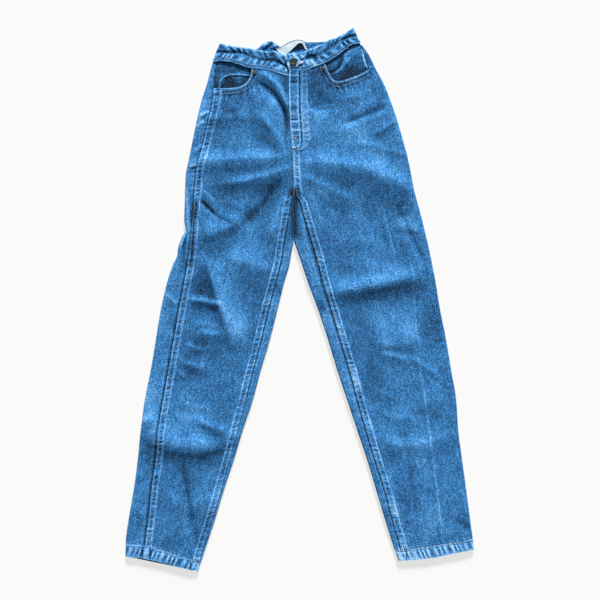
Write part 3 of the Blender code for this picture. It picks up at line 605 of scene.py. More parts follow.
def seam_puckers(leg, x, y):
    """Small gathers that the long seams, the hem and the waistband pull into the cloth beside
    them: waves along each seam that fade with the distance from it."""
    inseam = curve(INSEAM[leg], y)
    outseam = curve(OUTSEAM[leg], y)
    waist = curve(WAIST_SEAM[leg], x)
    hem = curve(HEM_SEAM[leg], x)
    below_crotch = smooth_step(CROTCH_Y + 5, CROTCH_Y - 20, y)
    total = 0.34 * bell(x, inseam, 16) * uneven_wave(y / 12.5, 1.0) * below_crotch
    total += 0.30 * bell(x, outseam, 17) * uneven_wave(y / 13.5, 2.0)
    total += 0.42 * bell(y, hem, 13) * uneven_wave((x + 0.3 * y) / 10.5, 3.0)
    total += 0.40 * bell(y, waist, 15) * uneven_wave((x - 0.2 * y) / 13, 4.0)
    return total


def ripples(x, y):
    """Faint unevenness of washed denim: three long waves crossing at odd angles."""
    first = uneven_wave((0.35 * x + y) / 47, 0.3)
    second = uneven_wave((-0.5 * x + y) / 31, 1.7)
    third = uneven_wave((x + 0.15 * y) / 39, 2.9)
    return 0.16 * first + 0.10 * second + 0.10 * third


def level_at(y):
    """Level of the top layer, by straight lines between the rows of its table."""
    return np.interp(y, *np.array(sorted(LEVEL), dtype=float).T)


def cloth_height(leg, x, y):
    """Height of the top layer: level, folds, creases, puckers and ripples, rounded down at the
    silhouette."""
    level = level_at(y)
    level = np.maximum(level + fold_sum(FOLDS, x, y), LEAST_LEVEL)
    level += fold_sum(CREASES, x, y) / FOLD_SCALE + seam_puckers(leg, x, y) + ripples(x, y)
    return EDGE_Z + (level - EDGE_Z) * edge_factor(leg, x, y, EDGE_WIDTH)


def under_height(leg, x, y):
    """Height of the underside: flat, lifted off the pockets and in a few creases, and rounded up
    at the silhouette."""
    lift = POCKET_LIFT * smooth_step(169, 209, y) * (1 - smooth_step(440, 465, y))
    rise = edge_factor(leg, x, y, UNDER_WIDTH)
    flat = np.maximum(lift + (EDGE_Z - lift) * (1 - rise), UNDER_CLEAR)
    return flat + rise * fold_sum(UNDER_CREASES, x, y) / FOLD_SCALE


def mouth_layer(leg, x, y):
    """Rise of the turned and stitched edge of a pocket mouth, with the puckers across it."""
    distance, along = nearest_on(POCKET_MOUTH[leg], x, y)
    layer = 1 - smooth_step(12, 15.5, distance)
    roll = quarter_round(distance + 0.4, 2.5)
    pleats = uneven_wave((along + 0.35 * distance) / 7.5, 0.7)
    beyond = bell(distance, 12, 9)
    return 0.9 * layer * roll + 0.4 * pleats * np.maximum(layer * roll, beyond), distance, along


def front_height(leg, x, y):
    """Height of a front panel: the cloth and the layers round its pocket mouth."""
    return cloth_height(leg, x, y) + mouth_layer(leg, x, y)[0]


def grain_of(leg, x, y):
    """Warp direction of the denim: across and along the middle line of the leg, in metres."""
    low = np.minimum(y, CROTCH_Y)
    middle = (curve(OUTER[leg], low) + curve(INNER[leg], low)) / 2
    return np.stack([(x - middle) * MM, y * 1.03 * MM, np.zeros_like(x)], axis=-1)


def cross_grain(x, y):
    """Warp direction of a piece whose warp runs across the jeans, in metres."""
    return np.stack([y * MM, x * MM, 0 * x], axis=-1)


def wear_and_shade_of(leg, x, y, height):
    """How faded the cloth is, with painted light and shade: lighter on high folds as worn, darker
    in low ones as painted shade, the patches, painted highlights and painted shade of the wash
    table, a pale band above the hem, and painted shade in the crease where the legs press
    together below the crotch."""
    level = level_at(y)
    factor = edge_factor(leg, x, y, EDGE_WIDTH)
    # Lighter on high folds as worn, darker in low folds as painted shade
    fade_and_shade = np.clip(0.035 * (height - EDGE_Z - (level - EDGE_Z) * factor), -0.3, 0.3)
    fade_and_shade += fold_sum(WASH_LIGHT_AND_SHADE, x, y) / FOLD_SCALE
    above_hem = y - curve(HEM_SEAM[leg], x)
    fade_and_shade += (0.2 + 0.4 * uneven_wave((x + 0.5 * y) / 5.5, 3.0)) * bell(above_hem, 2, 4)
    # Painted shade in the crease where the legs press together below the crotch
    crotch = bell(x, CENTRE_BACK_X, 9)
    crotch *= smooth_step(112, 130, y) * (1 - smooth_step(CROTCH_Y + 12, CROTCH_Y + 24, y))
    return fade_and_shade - 1.1 * crotch


def lowered(grid, depth):
    """The same grid of points, moved down."""
    return grid - np.array([0, 0, depth])


def with_height(plan, height):
    """Points from a plan and the height of each point."""
    return np.concatenate([plan, height[..., None]], axis=-1)


def normals(grid, closed=False):
    """Unit normals of a grid of points, by central differences."""
    along = np.gradient(grid, axis=0)
    if closed:
        wrapped = np.concatenate([grid[:, -1:], grid, grid[:, :1]], axis=1)
        across = np.gradient(wrapped, axis=1)[:, 1:-1]
    else:
        across = np.gradient(grid, axis=1)
    normal = np.cross(across, along)
    return normal / np.maximum(np.linalg.norm(normal, axis=-1, keepdims=True), 1e-9)


def blend_plan(top, bottom, first, last, u, weight):
    """A plan between four edges: a share of top(u) and bottom(u) by row, moved so that its ends
    meet the first and last point of each row."""
    weight = weight[:, None, None]
    plan = weight * top(u) + (1 - weight) * bottom(u)
    zero, one = np.zeros(1), np.ones(1)
    start = weight * top(zero) + (1 - weight) * bottom(zero)
    end = weight * top(one) + (1 - weight) * bottom(one)
    share = u[..., None]
    return plan + (1 - share) * (first[:, None] - start) + share * (last[:, None] - end)


def row_stations(leg, finer):
    """y of each row of a leg's front panel, at its outseam and at its centre or inseam. finer is
    the count of rows for each row of the solids, above and below the crotch."""
    corner = POCKET_MOUTH[leg][0][1]
    centre = WAIST_SEAM[leg][-1][1]
    ends = (OUTSEAM[leg], INSEAM[leg])
    rows = []
    for start, seam in zip((corner, centre), ends):
        end = curve(HEM_SEAM[leg], sorted(seam)[0][1])
        above = np.linspace(start, CROTCH_Y, ROWS_ABOVE_CROTCH * finer[0] + 1)
        below = np.linspace(CROTCH_Y, end, ROWS_BELOW_CROTCH * finer[1] + 1)
        rows.append(np.concatenate([above, below[1:]]))
    return rows


def front_edge(leg, y):
    """x of the front panel's inner edge: the centre front, then the inseam."""
    centre = curve(CENTRE_FRONT, y) + SIDE[leg] * SEAM_GAP / 2
    turn = smooth_step(CROTCH_Y, CROTCH_Y + 22, y)
    return centre * turn + curve(INSEAM[leg], np.minimum(y, CROTCH_Y + 22)) * (1 - turn)


def inner_strip_width(leg, y):
    """Width of the layer sewn along the inner edge: the fly with its curved end, then a seam."""
    if leg == "right":
        return np.full_like(y, STRIP_WIDTH)
    share = np.clip((FLY_CURVE_TOP - y) / (FLY_CURVE_TOP - FLY_END), 0, 1)
    return STRIP_WIDTH + (FLY_WIDTH - STRIP_WIDTH) * np.sqrt(1 - share ** 2)


def front_plan(leg, finer, strip_cells, half_cells):
    """Plan of a front panel: rows from the waist and pocket to the hem, columns from the outseam,
    with a strip of columns under each sewn layer."""
    outer_y, inner_y = row_stations(leg, finer)
    first = np.stack([curve(OUTSEAM[leg], outer_y), outer_y], axis=-1)
    last = np.stack([front_edge(leg, inner_y), inner_y], axis=-1)
    width = np.hypot(*(last - first).T)
    waist = [POCKET_MOUTH[leg][-1], *PANEL_WAIST[leg], tuple(last[0])]

    def top(u):
        mouth = path(POCKET_MOUTH[leg], np.minimum(u * 2, 1))
        seam = path(waist, np.maximum(u * 2 - 1, 0))
        return np.where(u[..., None] < 0.5, mouth, seam)

    def bottom(u):
        x = first[-1, 0] + (last[-1, 0] - first[-1, 0]) * u
        return np.stack([x, curve(HEM_SEAM[leg], x)], axis=-1)

    near = STRIP_WIDTH / width
    far = 1 - inner_strip_width(leg, inner_y) / width
    shares = [near * k / strip_cells for k in range(strip_cells)]
    shares += [near + (0.5 - near) * k / half_cells for k in range(half_cells)]
    shares += [0.5 + (far - 0.5) * k / half_cells for k in range(half_cells)]
    shares += [far + (1 - far) * k / strip_cells for k in range(strip_cells + 1)]
    weight = (1 - np.linspace(0, 1, len(width))) ** 3
    return blend_plan(top, bottom, first, last, np.stack(shares, axis=-1), weight)


def back_points(leg, finer):
    """Grid of a back panel and its yoke: each row runs from the outseam round the leg's edge,
    under the leg, and round the other edge to the inseam."""
    outer_y, inner_y = row_stations(leg, finer)
    side_y, centre_y = BACK_WAIST[0 if leg == "right" else -1][1], BACK_WAIST[1][1]
    centre_x = CENTRE_BACK_X + SIDE[leg] * SEAM_GAP / 2
    yoke_rows = YOKE_ROWS * finer[0]
    outer_y = np.concatenate([np.linspace(side_y, outer_y[0], yoke_rows + 1)[:-1], outer_y])
    above = np.concatenate([
        np.linspace(centre_y, YOKE_END, yoke_rows + 1)[:-1],
        np.linspace(YOKE_END, CROTCH_Y, ROWS_ABOVE_CROTCH * finer[0] + 1),
    ])
    inner_y = np.concatenate([above, inner_y[ROWS_ABOVE_CROTCH * finer[0] + 1:]])
    crotch_row = yoke_rows + ROWS_ABOVE_CROTCH * finer[0]
    way = -SIDE[leg]
    outer_x = curve(OUTER[leg], outer_y)
    inner_x = curve(INNER[leg], inner_y)
    inner_x[:crotch_row] = centre_x
    seam_in = np.abs(curve(OUTSEAM[leg], outer_y) - outer_x) - SEAM_GAP
    inseam_in = np.abs(curve(INSEAM[leg], inner_y) - inner_x) - SEAM_GAP
    to_hem = smooth_step(len(outer_y) - 8 * finer[1] - 1, len(outer_y) - 1, np.arange(len(outer_y)))

    def at_hem(x, y, seam_x):
        """y moved so that the last rows follow the hem."""
        return y + to_hem * (curve(HEM_SEAM[leg], x) - curve(HEM_SEAM[leg], seam_x))

    def front_columns(edge_x, inwards, whole, row_y, count):
        """Columns that show in front, from near the edge to the seam, close together at first."""
        near = np.minimum(6, whole * 0.6)
        insets = [near * share for share in (0.07, 0.2, 0.42, 0.7, 1)]
        insets += [near + (whole - near) * share for share in np.linspace(0, 1, count - 4)[1:]]
        columns = []
        for inset in insets:
            x = edge_x + inwards * inset
            y = at_hem(x, row_y, edge_x + inwards * whole)
            height = cloth_height(leg, x, y) - SEAM_DROP * smooth_step(0, 8, inset)
            columns.append(np.stack([x, y, height], axis=-1))
        return columns

    columns = front_columns(outer_x, way, seam_in, outer_y, OUTER_COLUMNS - 1)[::-1]
    outer_edge_y = at_hem(outer_x, outer_y, outer_x + way * seam_in)
    inner_edge_y = at_hem(inner_x, inner_y, inner_x - way * inseam_in)
    columns.append(np.stack([outer_x, outer_edge_y, np.full_like(outer_x, EDGE_Z)], axis=-1))
    width = np.abs(inner_x - outer_x)
    edge_insets = (0.25, 0.9, 2.2)
    spans = [np.full_like(width, inset) for inset in edge_insets]
    spans += [UNDER_WIDTH + (width - 2 * UNDER_WIDTH) * share for share in np.linspace(0, 1, 21)]
    spans += [width - inset for inset in edge_insets[::-1]] + [width]
    for inset in spans:
        x = np.where(inset < width, outer_x + way * inset, inner_x)
        y = outer_edge_y + (inner_edge_y - outer_edge_y) * inset / width
        columns.append(np.stack([x, y, under_height(leg, x, y)], axis=-1))
    columns += front_columns(inner_x, -way, inseam_in, inner_y, INNER_COLUMNS)
    return np.stack(columns, axis=1), crotch_row


def wall_faces(cells, closed=False):
    """Quads of a wall: the outer grid, the inner grid turned over, and a rim round bare edges."""
    rows, columns = cells.shape[0] + 1, cells.shape[1] + (0 if closed else 1)
    index = np.arange(rows * columns).reshape(rows, columns)
    if closed:
        index = np.concatenate([index, index[:, :1]], axis=1)
    a, b, c, d = index[:-1, :-1], index[:-1, 1:], index[1:, :-1], index[1:, 1:]
    inside = rows * columns
    around = np.pad(cells, 1)
    if closed:
        around[1:-1, 0], around[1:-1, -1] = cells[:, -1], cells[:, 0]
    faces = [np.stack([a, b, d, c], axis=-1)[cells], np.stack([a, c, d, b], axis=-1)[cells] + inside]
    rims = [
        (around[:-2, 1:-1], b, a), (around[2:, 1:-1], c, d),
        (around[1:-1, :-2], a, c), (around[1:-1, 2:], d, b),
    ]
    for neighbour, start, end in rims:
        bare = cells & ~neighbour
        s, e = start[bare], end[bare]
        faces.append(np.stack([s, e, e + inside, s + inside], axis=-1))
    return np.concatenate(faces)


def fineness(context, times=1):
    """Rows of cloth for each row of the solids, above and below the crotch."""
    finer = context.scene.jeans_cloth.finer
    return (finer + 3) * times, finer * times


def signed_volume(points, faces):
    """Volume inside quads whose corners run anticlockwise from outside, or minus it."""
    a, b, c, d = (points[faces[:, k]] for k in range(4))
    return (np.cross(b, c) * a).sum() + (np.cross(c, d) * a).sum()


def add_mesh(name, points, faces, material, marks=None, sharp=0.9):
    """A piece from points in millimetres and a list of faces, riding on the jeans."""
    name = f"{name}_{material.name.split()[-1]}"
    mesh = bpy.data.meshes.new(name)
    mesh.from_pydata(points * MM, [], faces)
    mesh.validate()
    mesh.shade_smooth()
    if sharp:
        mesh.set_sharp_from_angle(angle=sharp)
    mesh.materials.append(material)
    for key, values in (marks or {}).items():
        kind = "FLOAT_VECTOR" if values.ndim == 2 else "FLOAT"
        layer = mesh.attributes.new(key, kind, "POINT")
        layer.data.foreach_set("vector" if values.ndim == 2 else "value", values.ravel())
    piece = bpy.data.objects.new(name, mesh)
    bpy.context.scene.collection.objects.link(piece)
    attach(piece, "root")
    return piece


def cut_size(grid, cells):
    """Width and length of the flat cut of a grid of cloth, and its area, in metres."""
    across = np.linalg.norm(np.diff(grid, axis=1), axis=-1)
    along = np.linalg.norm(np.diff(grid, axis=0), axis=-1)
    used_row = np.concatenate([cells, cells[-1:]]) * 1.0
    used_column = np.concatenate([cells, cells[:, -1:]], axis=1)[:, :along.shape[1]] * 1.0
    a, b = grid[1:, :-1] - grid[:-1, :-1], grid[:-1, 1:] - grid[:-1, :-1]
    area = np.linalg.norm(np.cross(a, b), axis=-1)[cells].sum()
    width = (across * used_row[:, :across.shape[1]]).sum(axis=1).max()
    length = (along * used_column).sum(axis=0).max()
    return width * MM, length * MM, area * MM * MM


def add_wall(
    name, outer, inner, cells, material, closed=False, marks=None, least=0
):
    """A wall between two grids, in place of the solid of the same name, which it hides. A wall
    between two grids, in place of the solid of the same name, declared as a sheet whose area is
    at least a share of its width by its length. Its area is reckoned and held to at least a share
    of its width by its length, but not used."""
    faces = wall_faces(cells, closed)
    points = np.concatenate([outer.reshape(-1, 3), inner.reshape(-1, 3)])
    used, faces = np.unique(faces, return_inverse=True)
    points, faces = points[used], faces.reshape(-1, 4)
    if signed_volume(points, faces) < 0:
        faces = faces[:, ::-1]
    marks = {key: values[used] for key, values in (marks or {}).items()}
    piece = add_mesh(name, points, faces, material, marks)
    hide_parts(name)
    whole = np.concatenate([outer, outer[:, :1]], axis=1) if closed else outer
    width, length, area = cut_size(whole, cells)
    area = np.clip(area, least * width * length, width * length)


def add_cloth(name, outer, inner, grain, wear_and_shade, context, cells=None, closed=False, inside=1):
    """A wall of denim, whose inner grid takes a share of the fading and painted shade."""
    rows, columns = outer.shape[:2]
    if cells is None:
        cells = np.ones((rows - 1, columns if closed else columns - 1), dtype=bool)
    wear_and_shade = np.clip(wear_and_shade, *WEAR_AND_SHADE_LIMITS).reshape(-1)
    marks = {"grain": np.tile(grain.reshape(-1, 3), (2, 1)), "wear_and_shade": np.concatenate([wear_and_shade, inside * wear_and_shade])}
    add_wall(name, outer, inner, cells, denim(context), closed, marks)


def stitch_shape():
    """One stitch as a unit shape: three rings of five points between two tips, along its X axis.
    Gives back its points, its triangles and its quads."""
    rings = [(-0.36, 0.8), (0.0, 1.0), (0.36, 0.8)]
    angles = np.arange(5) * 2 * np.pi / 5
    points = [(-0.5, 0.0, 0.0)]
    for place, size in rings:
        points += [(place, size * np.cos(a), size * np.sin(a)) for a in angles]
    points.append((0.5, 0.0, 0.0))
    now = np.arange(5)
    after = (now + 1) % 5
    tips = [(0 * now, 1 + after, 1 + now), (0 * now + 16, 11 + now, 11 + after)]
    bands = [(low + now, low + after, low + 5 + after, low + 5 + now) for low in (1, 6)]
    faces = [np.concatenate([np.stack(part, axis=-1) for part in parts]) for parts in (tips, bands)]
    return np.array(points), faces


def add_stitches(name, lines, material, pitch, length=2.5, width=0.42):
    """Rows of stitches: one small capsule for each pitch of every line, lying along it."""
    shape, shape_faces = stitch_shape()
    centres, ways = [], []
    for line in lines:
        steps = np.linalg.norm(np.diff(line, axis=0), axis=1)
        along = np.concatenate([[0], np.cumsum(steps)])
        count = max(int(along[-1] / pitch), 1)
        stations = (np.arange(count) + 0.5) * along[-1] / count
        centre = np.stack([np.interp(stations, along, line[:, k]) for k in range(3)], axis=-1)
        ahead = np.stack([np.interp(stations + 0.8, along, line[:, k]) for k in range(3)], axis=-1)
        behind = np.stack([np.interp(stations - 0.8, along, line[:, k]) for k in range(3)], axis=-1)
        centres.append(centre)
        ways.append(ahead - behind)
    centres, ways = np.concatenate(centres), np.concatenate(ways)
    ways /= np.linalg.norm(ways, axis=1, keepdims=True)
    side = np.cross([0, 0, 1], ways)
    side /= np.linalg.norm(side, axis=1, keepdims=True)
    up = np.cross(ways, side)
    centres = centres + up * 0.12
    x, y, z = shape[:, 0] * length, shape[:, 1] * width, shape[:, 2] * width * 0.75
    points = (
        centres[:, None] + ways[:, None] * x[:, None] + side[:, None] * y[:, None]
        + up[:, None] * z[:, None]
    )
    first = np.arange(len(centres))[:, None, None] * len(shape)
    faces = sum(((first + part).reshape(-1, part.shape[1]).tolist() for part in shape_faces), [])
    add_mesh(name, points.reshape(-1, 3), faces, material, sharp=0)


def linear(code):
    """Linear red, green and blue of an sRGB hex colour such as "#346EAA"."""
    parts = [int(code[k:k + 2], 16) / 255 for k in (1, 3, 5)]
    return tuple(p / 12.92 if p <= 0.04045 else ((p + 0.055) / 1.055) ** 2.4 for p in parts)


def add_node(tree, kind, inputs=None, **settings):
    """A shader node with its settings, whose inputs are set or linked."""
    node = tree.nodes.new("ShaderNode" + kind)
    for key, value in settings.items():
        setattr(node, key, value)
    for socket, value in (inputs or {}).items():
        if isinstance(value, bpy.types.NodeSocket):
            tree.links.new(value, node.inputs[socket])
        else:
            node.inputs[socket].default_value = value
    return node


def new_material(name):
    """A node material and its Principled shader."""
    material = bpy.data.materials.new(name)
    material.use_nodes = True
    return material, material.node_tree, material.node_tree.nodes["Principled BSDF"]


def paint(tree, shader, value, stops):
    """Base colour of a shader: a value picks it along stops of (position, colour)."""
    ramp = add_node(tree, "ValToRGB", {0: value})
    while len(ramp.color_ramp.elements) < len(stops):
        ramp.color_ramp.elements.new(0.5)
    for element, (position, colour) in zip(ramp.color_ramp.elements, stops):
        element.position = position
        element.color = (*colour, 1.0)
    tree.links.new(ramp.outputs[0], shader.inputs["Base Color"])


def roughen(tree, shader, height, strength, distance):
    """Bump of a shader from a height."""
    bump = add_node(tree, "Bump", {"Height": height, "Strength": strength, "Distance": distance})
    tree.links.new(bump.outputs[0], shader.inputs["Normal"])


def times(share, colour):
    """A colour made darker by a share."""
    return tuple(share * part for part in colour)


def noise_on(tree, place, sizes, detail, roughness=0.55):
    """Noise, from 0 to 1, whose marks measure so many millimetres across, along and up."""
    scale = [1 / (size * MM) for size in sizes]
    scaled = add_node(tree, "VectorMath", {0: place, 1: scale}, operation="MULTIPLY")
    inputs = {"Vector": scaled.outputs[0], "Rotation": (0.7, 0.5, 0.6)}
    turned_off = add_node(tree, "VectorRotate", inputs, rotation_type="EULER_XYZ")
    inputs = {"Vector": turned_off.outputs[0], "Scale": 1.0, "Detail": detail, "Roughness": roughness}
    return add_node(tree, "TexNoise", inputs).outputs[0]


def wave_scale(spacing, turns):
    """Scale of a wave texture whose lines are so many millimetres apart along an axis. Its own
    measure is 20 radians a unit for straight bands and 10 for slanting ones."""
    return 2 * np.pi / (turns * spacing * MM)


def weighted(tree, value, weight, base):
    """value times weight, plus base."""
    return add_node(tree, "Math", {0: value, 1: weight, 2: base}, operation="MULTIPLY_ADD").outputs[0]


def denim_material(name, colours):
    """Stonewashed denim: indigo warp over white weft, a 3/1 twill. The eye sees a salt-and-pepper
    grain drawn out along the warp, mottles and soft clouds of wash, and fading wherever a fold or
    seam stands proud, with painted highlights and painted shade carried in the same attribute as
    the fading. Real twill lines are 0.8 mm apart, too fine for the render, so the grain is drawn
    at about 1.2 by 2.5 mm and the twill in the bump at 1.6 mm."""
    material, tree, shader = new_material(name)
    place = add_node(tree, "Attribute", attribute_name="grain").outputs["Vector"]
    wear_and_shade = add_node(tree, "Attribute", attribute_name="wear_and_shade").outputs["Fac"]
    pepper = noise_on(tree, place, (1.2195, 2.5, 1000), 1.0, 0.6)
    mottle = noise_on(tree, place, (6.667, 12.5, 1000), 2.0)
    streak = noise_on(tree, place, (3.333, 29.41, 1000), 2.0)
    cloud = noise_on(tree, place, (52.63, 83.33, 1000), 3.0)
    layers = [(pepper, 1.75), (mottle, 0.35), (streak, 0.3), (cloud, 0.5)]
    tone = 0.39 - 0.5 * sum(weight for _, weight in layers)
    for layer, weight in layers + [(wear_and_shade, 0.5)]:
        tone = weighted(tree, layer, weight, tone)
    paint(tree, shader, tone, [(0.0, colours.denim_dark), (0.37, colours.denim_mid),
                               (0.72, colours.denim_light), (1.0, colours.denim_worn)])
    waves = {"Vector": place, "Scale": wave_scale(1.611, 10), "Distortion": 1.5, "Detail": 1.0,
             "Detail Scale": 2.0}
    twill = add_node(tree, "TexWave", waves, bands_direction="DIAGONAL")
    height = weighted(tree, twill.outputs["Fac"], 0.3, pepper)
    roughen(tree, shader, height, 0.55, 0.0007)
    shader.inputs["Roughness"].default_value = 0.88
    shader.inputs["Specular IOR Level"].default_value = 0.15
    shader.inputs["Sheen Weight"].default_value = 0.04
    shader.inputs["Sheen Roughness"].default_value = 0.5
    return material


def thread_material(name, colour):
    """Cotton-wrapped polyester thread: pale, matt, with a faint twist that breaks its colour."""
    material, tree, shader = new_material(name)
    place = add_node(tree, "TexCoord").outputs["Object"]
    grit = noise_on(tree, place, (3.846, 3.846, 3.846), 2.0)
    paint(tree, shader, grit, [(0.3, times(0.55, colour)), (0.62, colour)])
    shader.inputs["Roughness"].default_value = 0.7
    return material


def label_material(name, colour):
    """Woven satin label, bare: cream, with fine ribs across it and a slight gloss."""
    material, tree, shader = new_material(name)
    place = add_node(tree, "TexCoord").outputs["Object"]
    ribs = add_node(tree, "TexWave", {"Vector": place, "Scale": wave_scale(1.208, 20), "Distortion": 0.6})
    stain = noise_on(tree, place, (14.29, 14.29, 14.29), 2.0)
    mixed = weighted(tree, ribs.outputs["Fac"], 0.35, stain)
    paint(tree, shader, mixed, [(0.2, times(0.84, colour)), (0.75, colour)])
    roughen(tree, shader, ribs.outputs["Fac"], 0.3, 0.0003)
    shader.inputs["Roughness"].default_value = 0.5
    return material


def metal_material(name, colour, worn, roughness):
    """Antiqued stamped metal: dark, and rubbed brighter in patches."""
    material, tree, shader = new_material(name)
    place = add_node(tree, "TexCoord").outputs["Object"]
    patches = noise_on(tree, place, (2.381, 2.381, 2.381), 3.0)
    paint(tree, shader, patches, [(0.38, colour), (0.68, worn)])
    roughen(tree, shader, patches, 0.25, 0.0003)
    shader.inputs["Roughness"].default_value = roughness
    shader.inputs["Metallic"].default_value = 0.55
    return material


def shared(name, make, *values):
    """The material of that name, made once."""
    return bpy.data.materials.get(name) or make(name, *values)


def denim(context):
    """The washed denim that every outside piece is cut from."""
    return shared("stonewashed denim", denim_material, context.scene.jeans_colours)


def sew(name, lines, context):
    """Rows of stitches in the pale thread of the seams."""
    thread = shared("pale sewing thread", thread_material, tuple(context.scene.jeans_colours.thread))
    add_stitches(name, lines, thread, context.scene.jeans_cloth.stitch_pitch)


def colour_setting(name, code, description):
    """A colour property from an sRGB hex code."""
    return bpy.props.FloatVectorProperty(
        name=name, description=description, subtype="COLOR", size=3, min=0, max=1, default=linear(code)
    )


class JeansCloth(bpy.types.PropertyGroup):
    """How finely the cloth is modelled and how strongly its seams pucker."""

    finer: bpy.props.IntProperty(
        name="Fineness", description="Rows of cloth for each row of the solids", default=7, min=2, max=10
    )
    pucker: bpy.props.FloatProperty(
        name="Seam puckers", description="Height of the puckers along felled seams, in millimetres",
        default=0.45, min=0, max=1,
    )
    stitch_pitch: bpy.props.FloatProperty(
        name="Stitch pitch", description="Length of one stitch and its gap, in millimetres",
        default=3.4, min=2, max=6,
    )


class JeansColours(bpy.types.PropertyGroup):
    """Colours of the cloth, thread, label and metal."""

    # The dark end of the ramp also shows the painted shade in hollows and creases, and the light end the
    # painted highlights on crests
    denim_dark: colour_setting("Dark denim", "#11273A", "Unfaded indigo, in the grain and the hollows")
    denim_mid: colour_setting("Denim", "#2F6BA2", "The washed blue of most of the cloth")
    denim_light: colour_setting("Light denim", "#4EA6F0", "Faded blue, on ridges and seams")
    denim_worn: colour_setting("Worn denim", "#B2DCFA", "Rubbed edges, almost down to the white weft")
    thread: colour_setting("Thread", "#97BBDB", "The sewing thread")
    label: colour_setting("Label", "#E2F8FF", "The woven label in the back waistband")
    button: colour_setting("Button", "#57554C", "Dark antiqued metal")
    rivet: colour_setting("Rivets", "#86705E", "Copper-brown metal")


class JeansStage(bpy.types.PropertyGroup):
    """Camera, light and floor."""

    camera_height: bpy.props.FloatProperty(
        name="Camera height", description="Height above the floor", default=2.4, unit="LENGTH", min=0.5
    )
    view_width: bpy.props.FloatProperty(
        name="View width", description="Width of floor that the picture shows", default=1.2,
        unit="LENGTH", min=0.5,
    )
    sun_elevation: bpy.props.FloatProperty(
        name="Sun elevation", description="Angle of the key light above the floor",
        default=radians(22), subtype="ANGLE",
    )
    sun_strength: bpy.props.FloatProperty(
        name="Sun strength", description="Key light", default=6.8, min=0
    )
    sky_strength: bpy.props.FloatProperty(
        name="Sky strength", description="Fill light", default=0.14, min=0
    )
    floor: colour_setting("Floor", "#FAFAF8", "Pale paper floor")


def seam_relief(along, across, y, pucker, seed):
    """Relief and wear of a felled seam: flat with rounded edges, a row of needle puckers along its
    middle, both stitched edges rubbed pale, and long patches of lighter wash."""
    body = 1 - np.abs(2 * across - 1) ** 5
    wave = uneven_wave((along + 5 * (across - 0.5)) / 7.8, seed)
    marks = bell(across, 0.46, 0.17)
    edges = bell(across, 0.1, 0.08) + bell(across, 0.88, 0.1)
    patches = uneven_wave(along / 88, seed + 1)
    shift = uneven_wave(along / 23, seed + 2)
    rise = STRIP_WALL * (0.25 + 0.75 * body) + pucker * marks * (wave - 0.6) + 0.12 * wave * body
    wear_and_shade = 0.2 + 0.55 * edges + marks * (0.34 * wave * (1 + 0.6 * shift) - 0.2 - 0.15 * shift)
    wear_and_shade += 0.1 * wave * body + 0.22 * patches
    return rise, wear_and_shade


def fly_relief(along, across, y, pucker, seed):
    """Relief and wear of the fly, from its curved row of stitches to the centre front: a rolled
    edge, a puckered placket with a few pinched bars, a groove beside the placket, and two rows
    of needle marks."""
    body = 1 - np.abs(2 * across - 1) ** 9
    wave = uneven_wave((y + 3 * across) / 12.5, seed)
    short = uneven_wave(y / 5.6, seed + 1)
    placket = smooth_step(0.53, 0.58, across) * (1 - smooth_step(0.92, 0.96, across))
    outside = 1 - smooth_step(0.26, 0.32, across)
    bars = sum(bell(y + 4 * (across - 0.75), place, 1.5) for place in FLY_BARS)
    bars = bars * (0.75 + 0.35 * np.sin(31 * across + 0.21 * y))
    ledges = sum(bell(y, place, 1.5) for place in FLY_LEDGES)
    ledges = ledges * smooth_step(0.34, 0.4, across)
    edge = bell(across, 0.965, 0.035)
    ridges = bell(across, 0.54, 0.045) + 0.7 * bell(across, 0.36, 0.045)
    groove = bell(across, 0.45, 0.04)
    needles = bell(across, 0.27, 0.04) + bell(across, 0.06, 0.04)
    rise = STRIP_WALL * (0.3 + 0.7 * body) + pucker * (0.5 * wave - bars) * placket
    rise += 0.5 * edge + 0.4 * ridges - 0.6 * groove - 0.3 * needles * (1 + short)
    wear_and_shade = 0.2 + 0.25 * wave * placket - 0.9 * bars * placket + 1.5 * edge + 0.85 * ridges
    wear_and_shade += 0.16 * outside + 0.22 * wave * outside - 1.0 * groove + 0.5 * needles * short
    wear_and_shade += 0.8 * ledges * (1 - edge) - 0.35 * smooth_step(426, 436, y) * (1 - edge)
    return rise, wear_and_shade


def add_strip(name, leg, side, rows, context, relief=seam_relief, cells=10, stitched=(2, 8)):
    """A sewn layer on the edge columns of a front panel, between two of the solid's rows. Its
    height and fading come from a relief function, with the fading and painted light and shade of
    the cloth beneath added. Gives back the lines to stitch along."""
    finer = fineness(context, 2)
    plan = front_plan(leg, finer, cells, 4)
    crotch = ROWS_ABOVE_CROTCH
    ends = [row * finer[0] if row <= crotch else crotch * finer[0] + (row - crotch) * finer[1]
            for row in rows]
    plan = plan[ends[0]:ends[1] + 1]
    plan = plan[:, :cells + 1] if side == "outer" else plan[:, -cells - 1:]
    across = np.linspace(0, 1, cells + 1)[None]
    steps = np.hypot(*np.diff(plan[:, cells // 2], axis=0).T)
    along = np.concatenate([[0], np.cumsum(steps)])[:, None]
    x, y = plan[..., 0], plan[..., 1]
    base = front_height(leg, x, y) if side == "outer" else cloth_height(leg, x, y)
    seed = 1.3 if leg == "left" else 0.4
    rise, wear_and_shade = relief(along, across, y, context.scene.jeans_cloth.pucker, seed)
    wear_and_shade = wear_and_shade + wear_and_shade_of(leg, x, y, base)
    outer = with_height(plan, base + rise)
    inner = with_height(plan, base + 0.06)
    add_cloth(name, outer, inner, grain_of(leg, x, y), wear_and_shade, context)
    return [outer[:, column] for column in stitched]


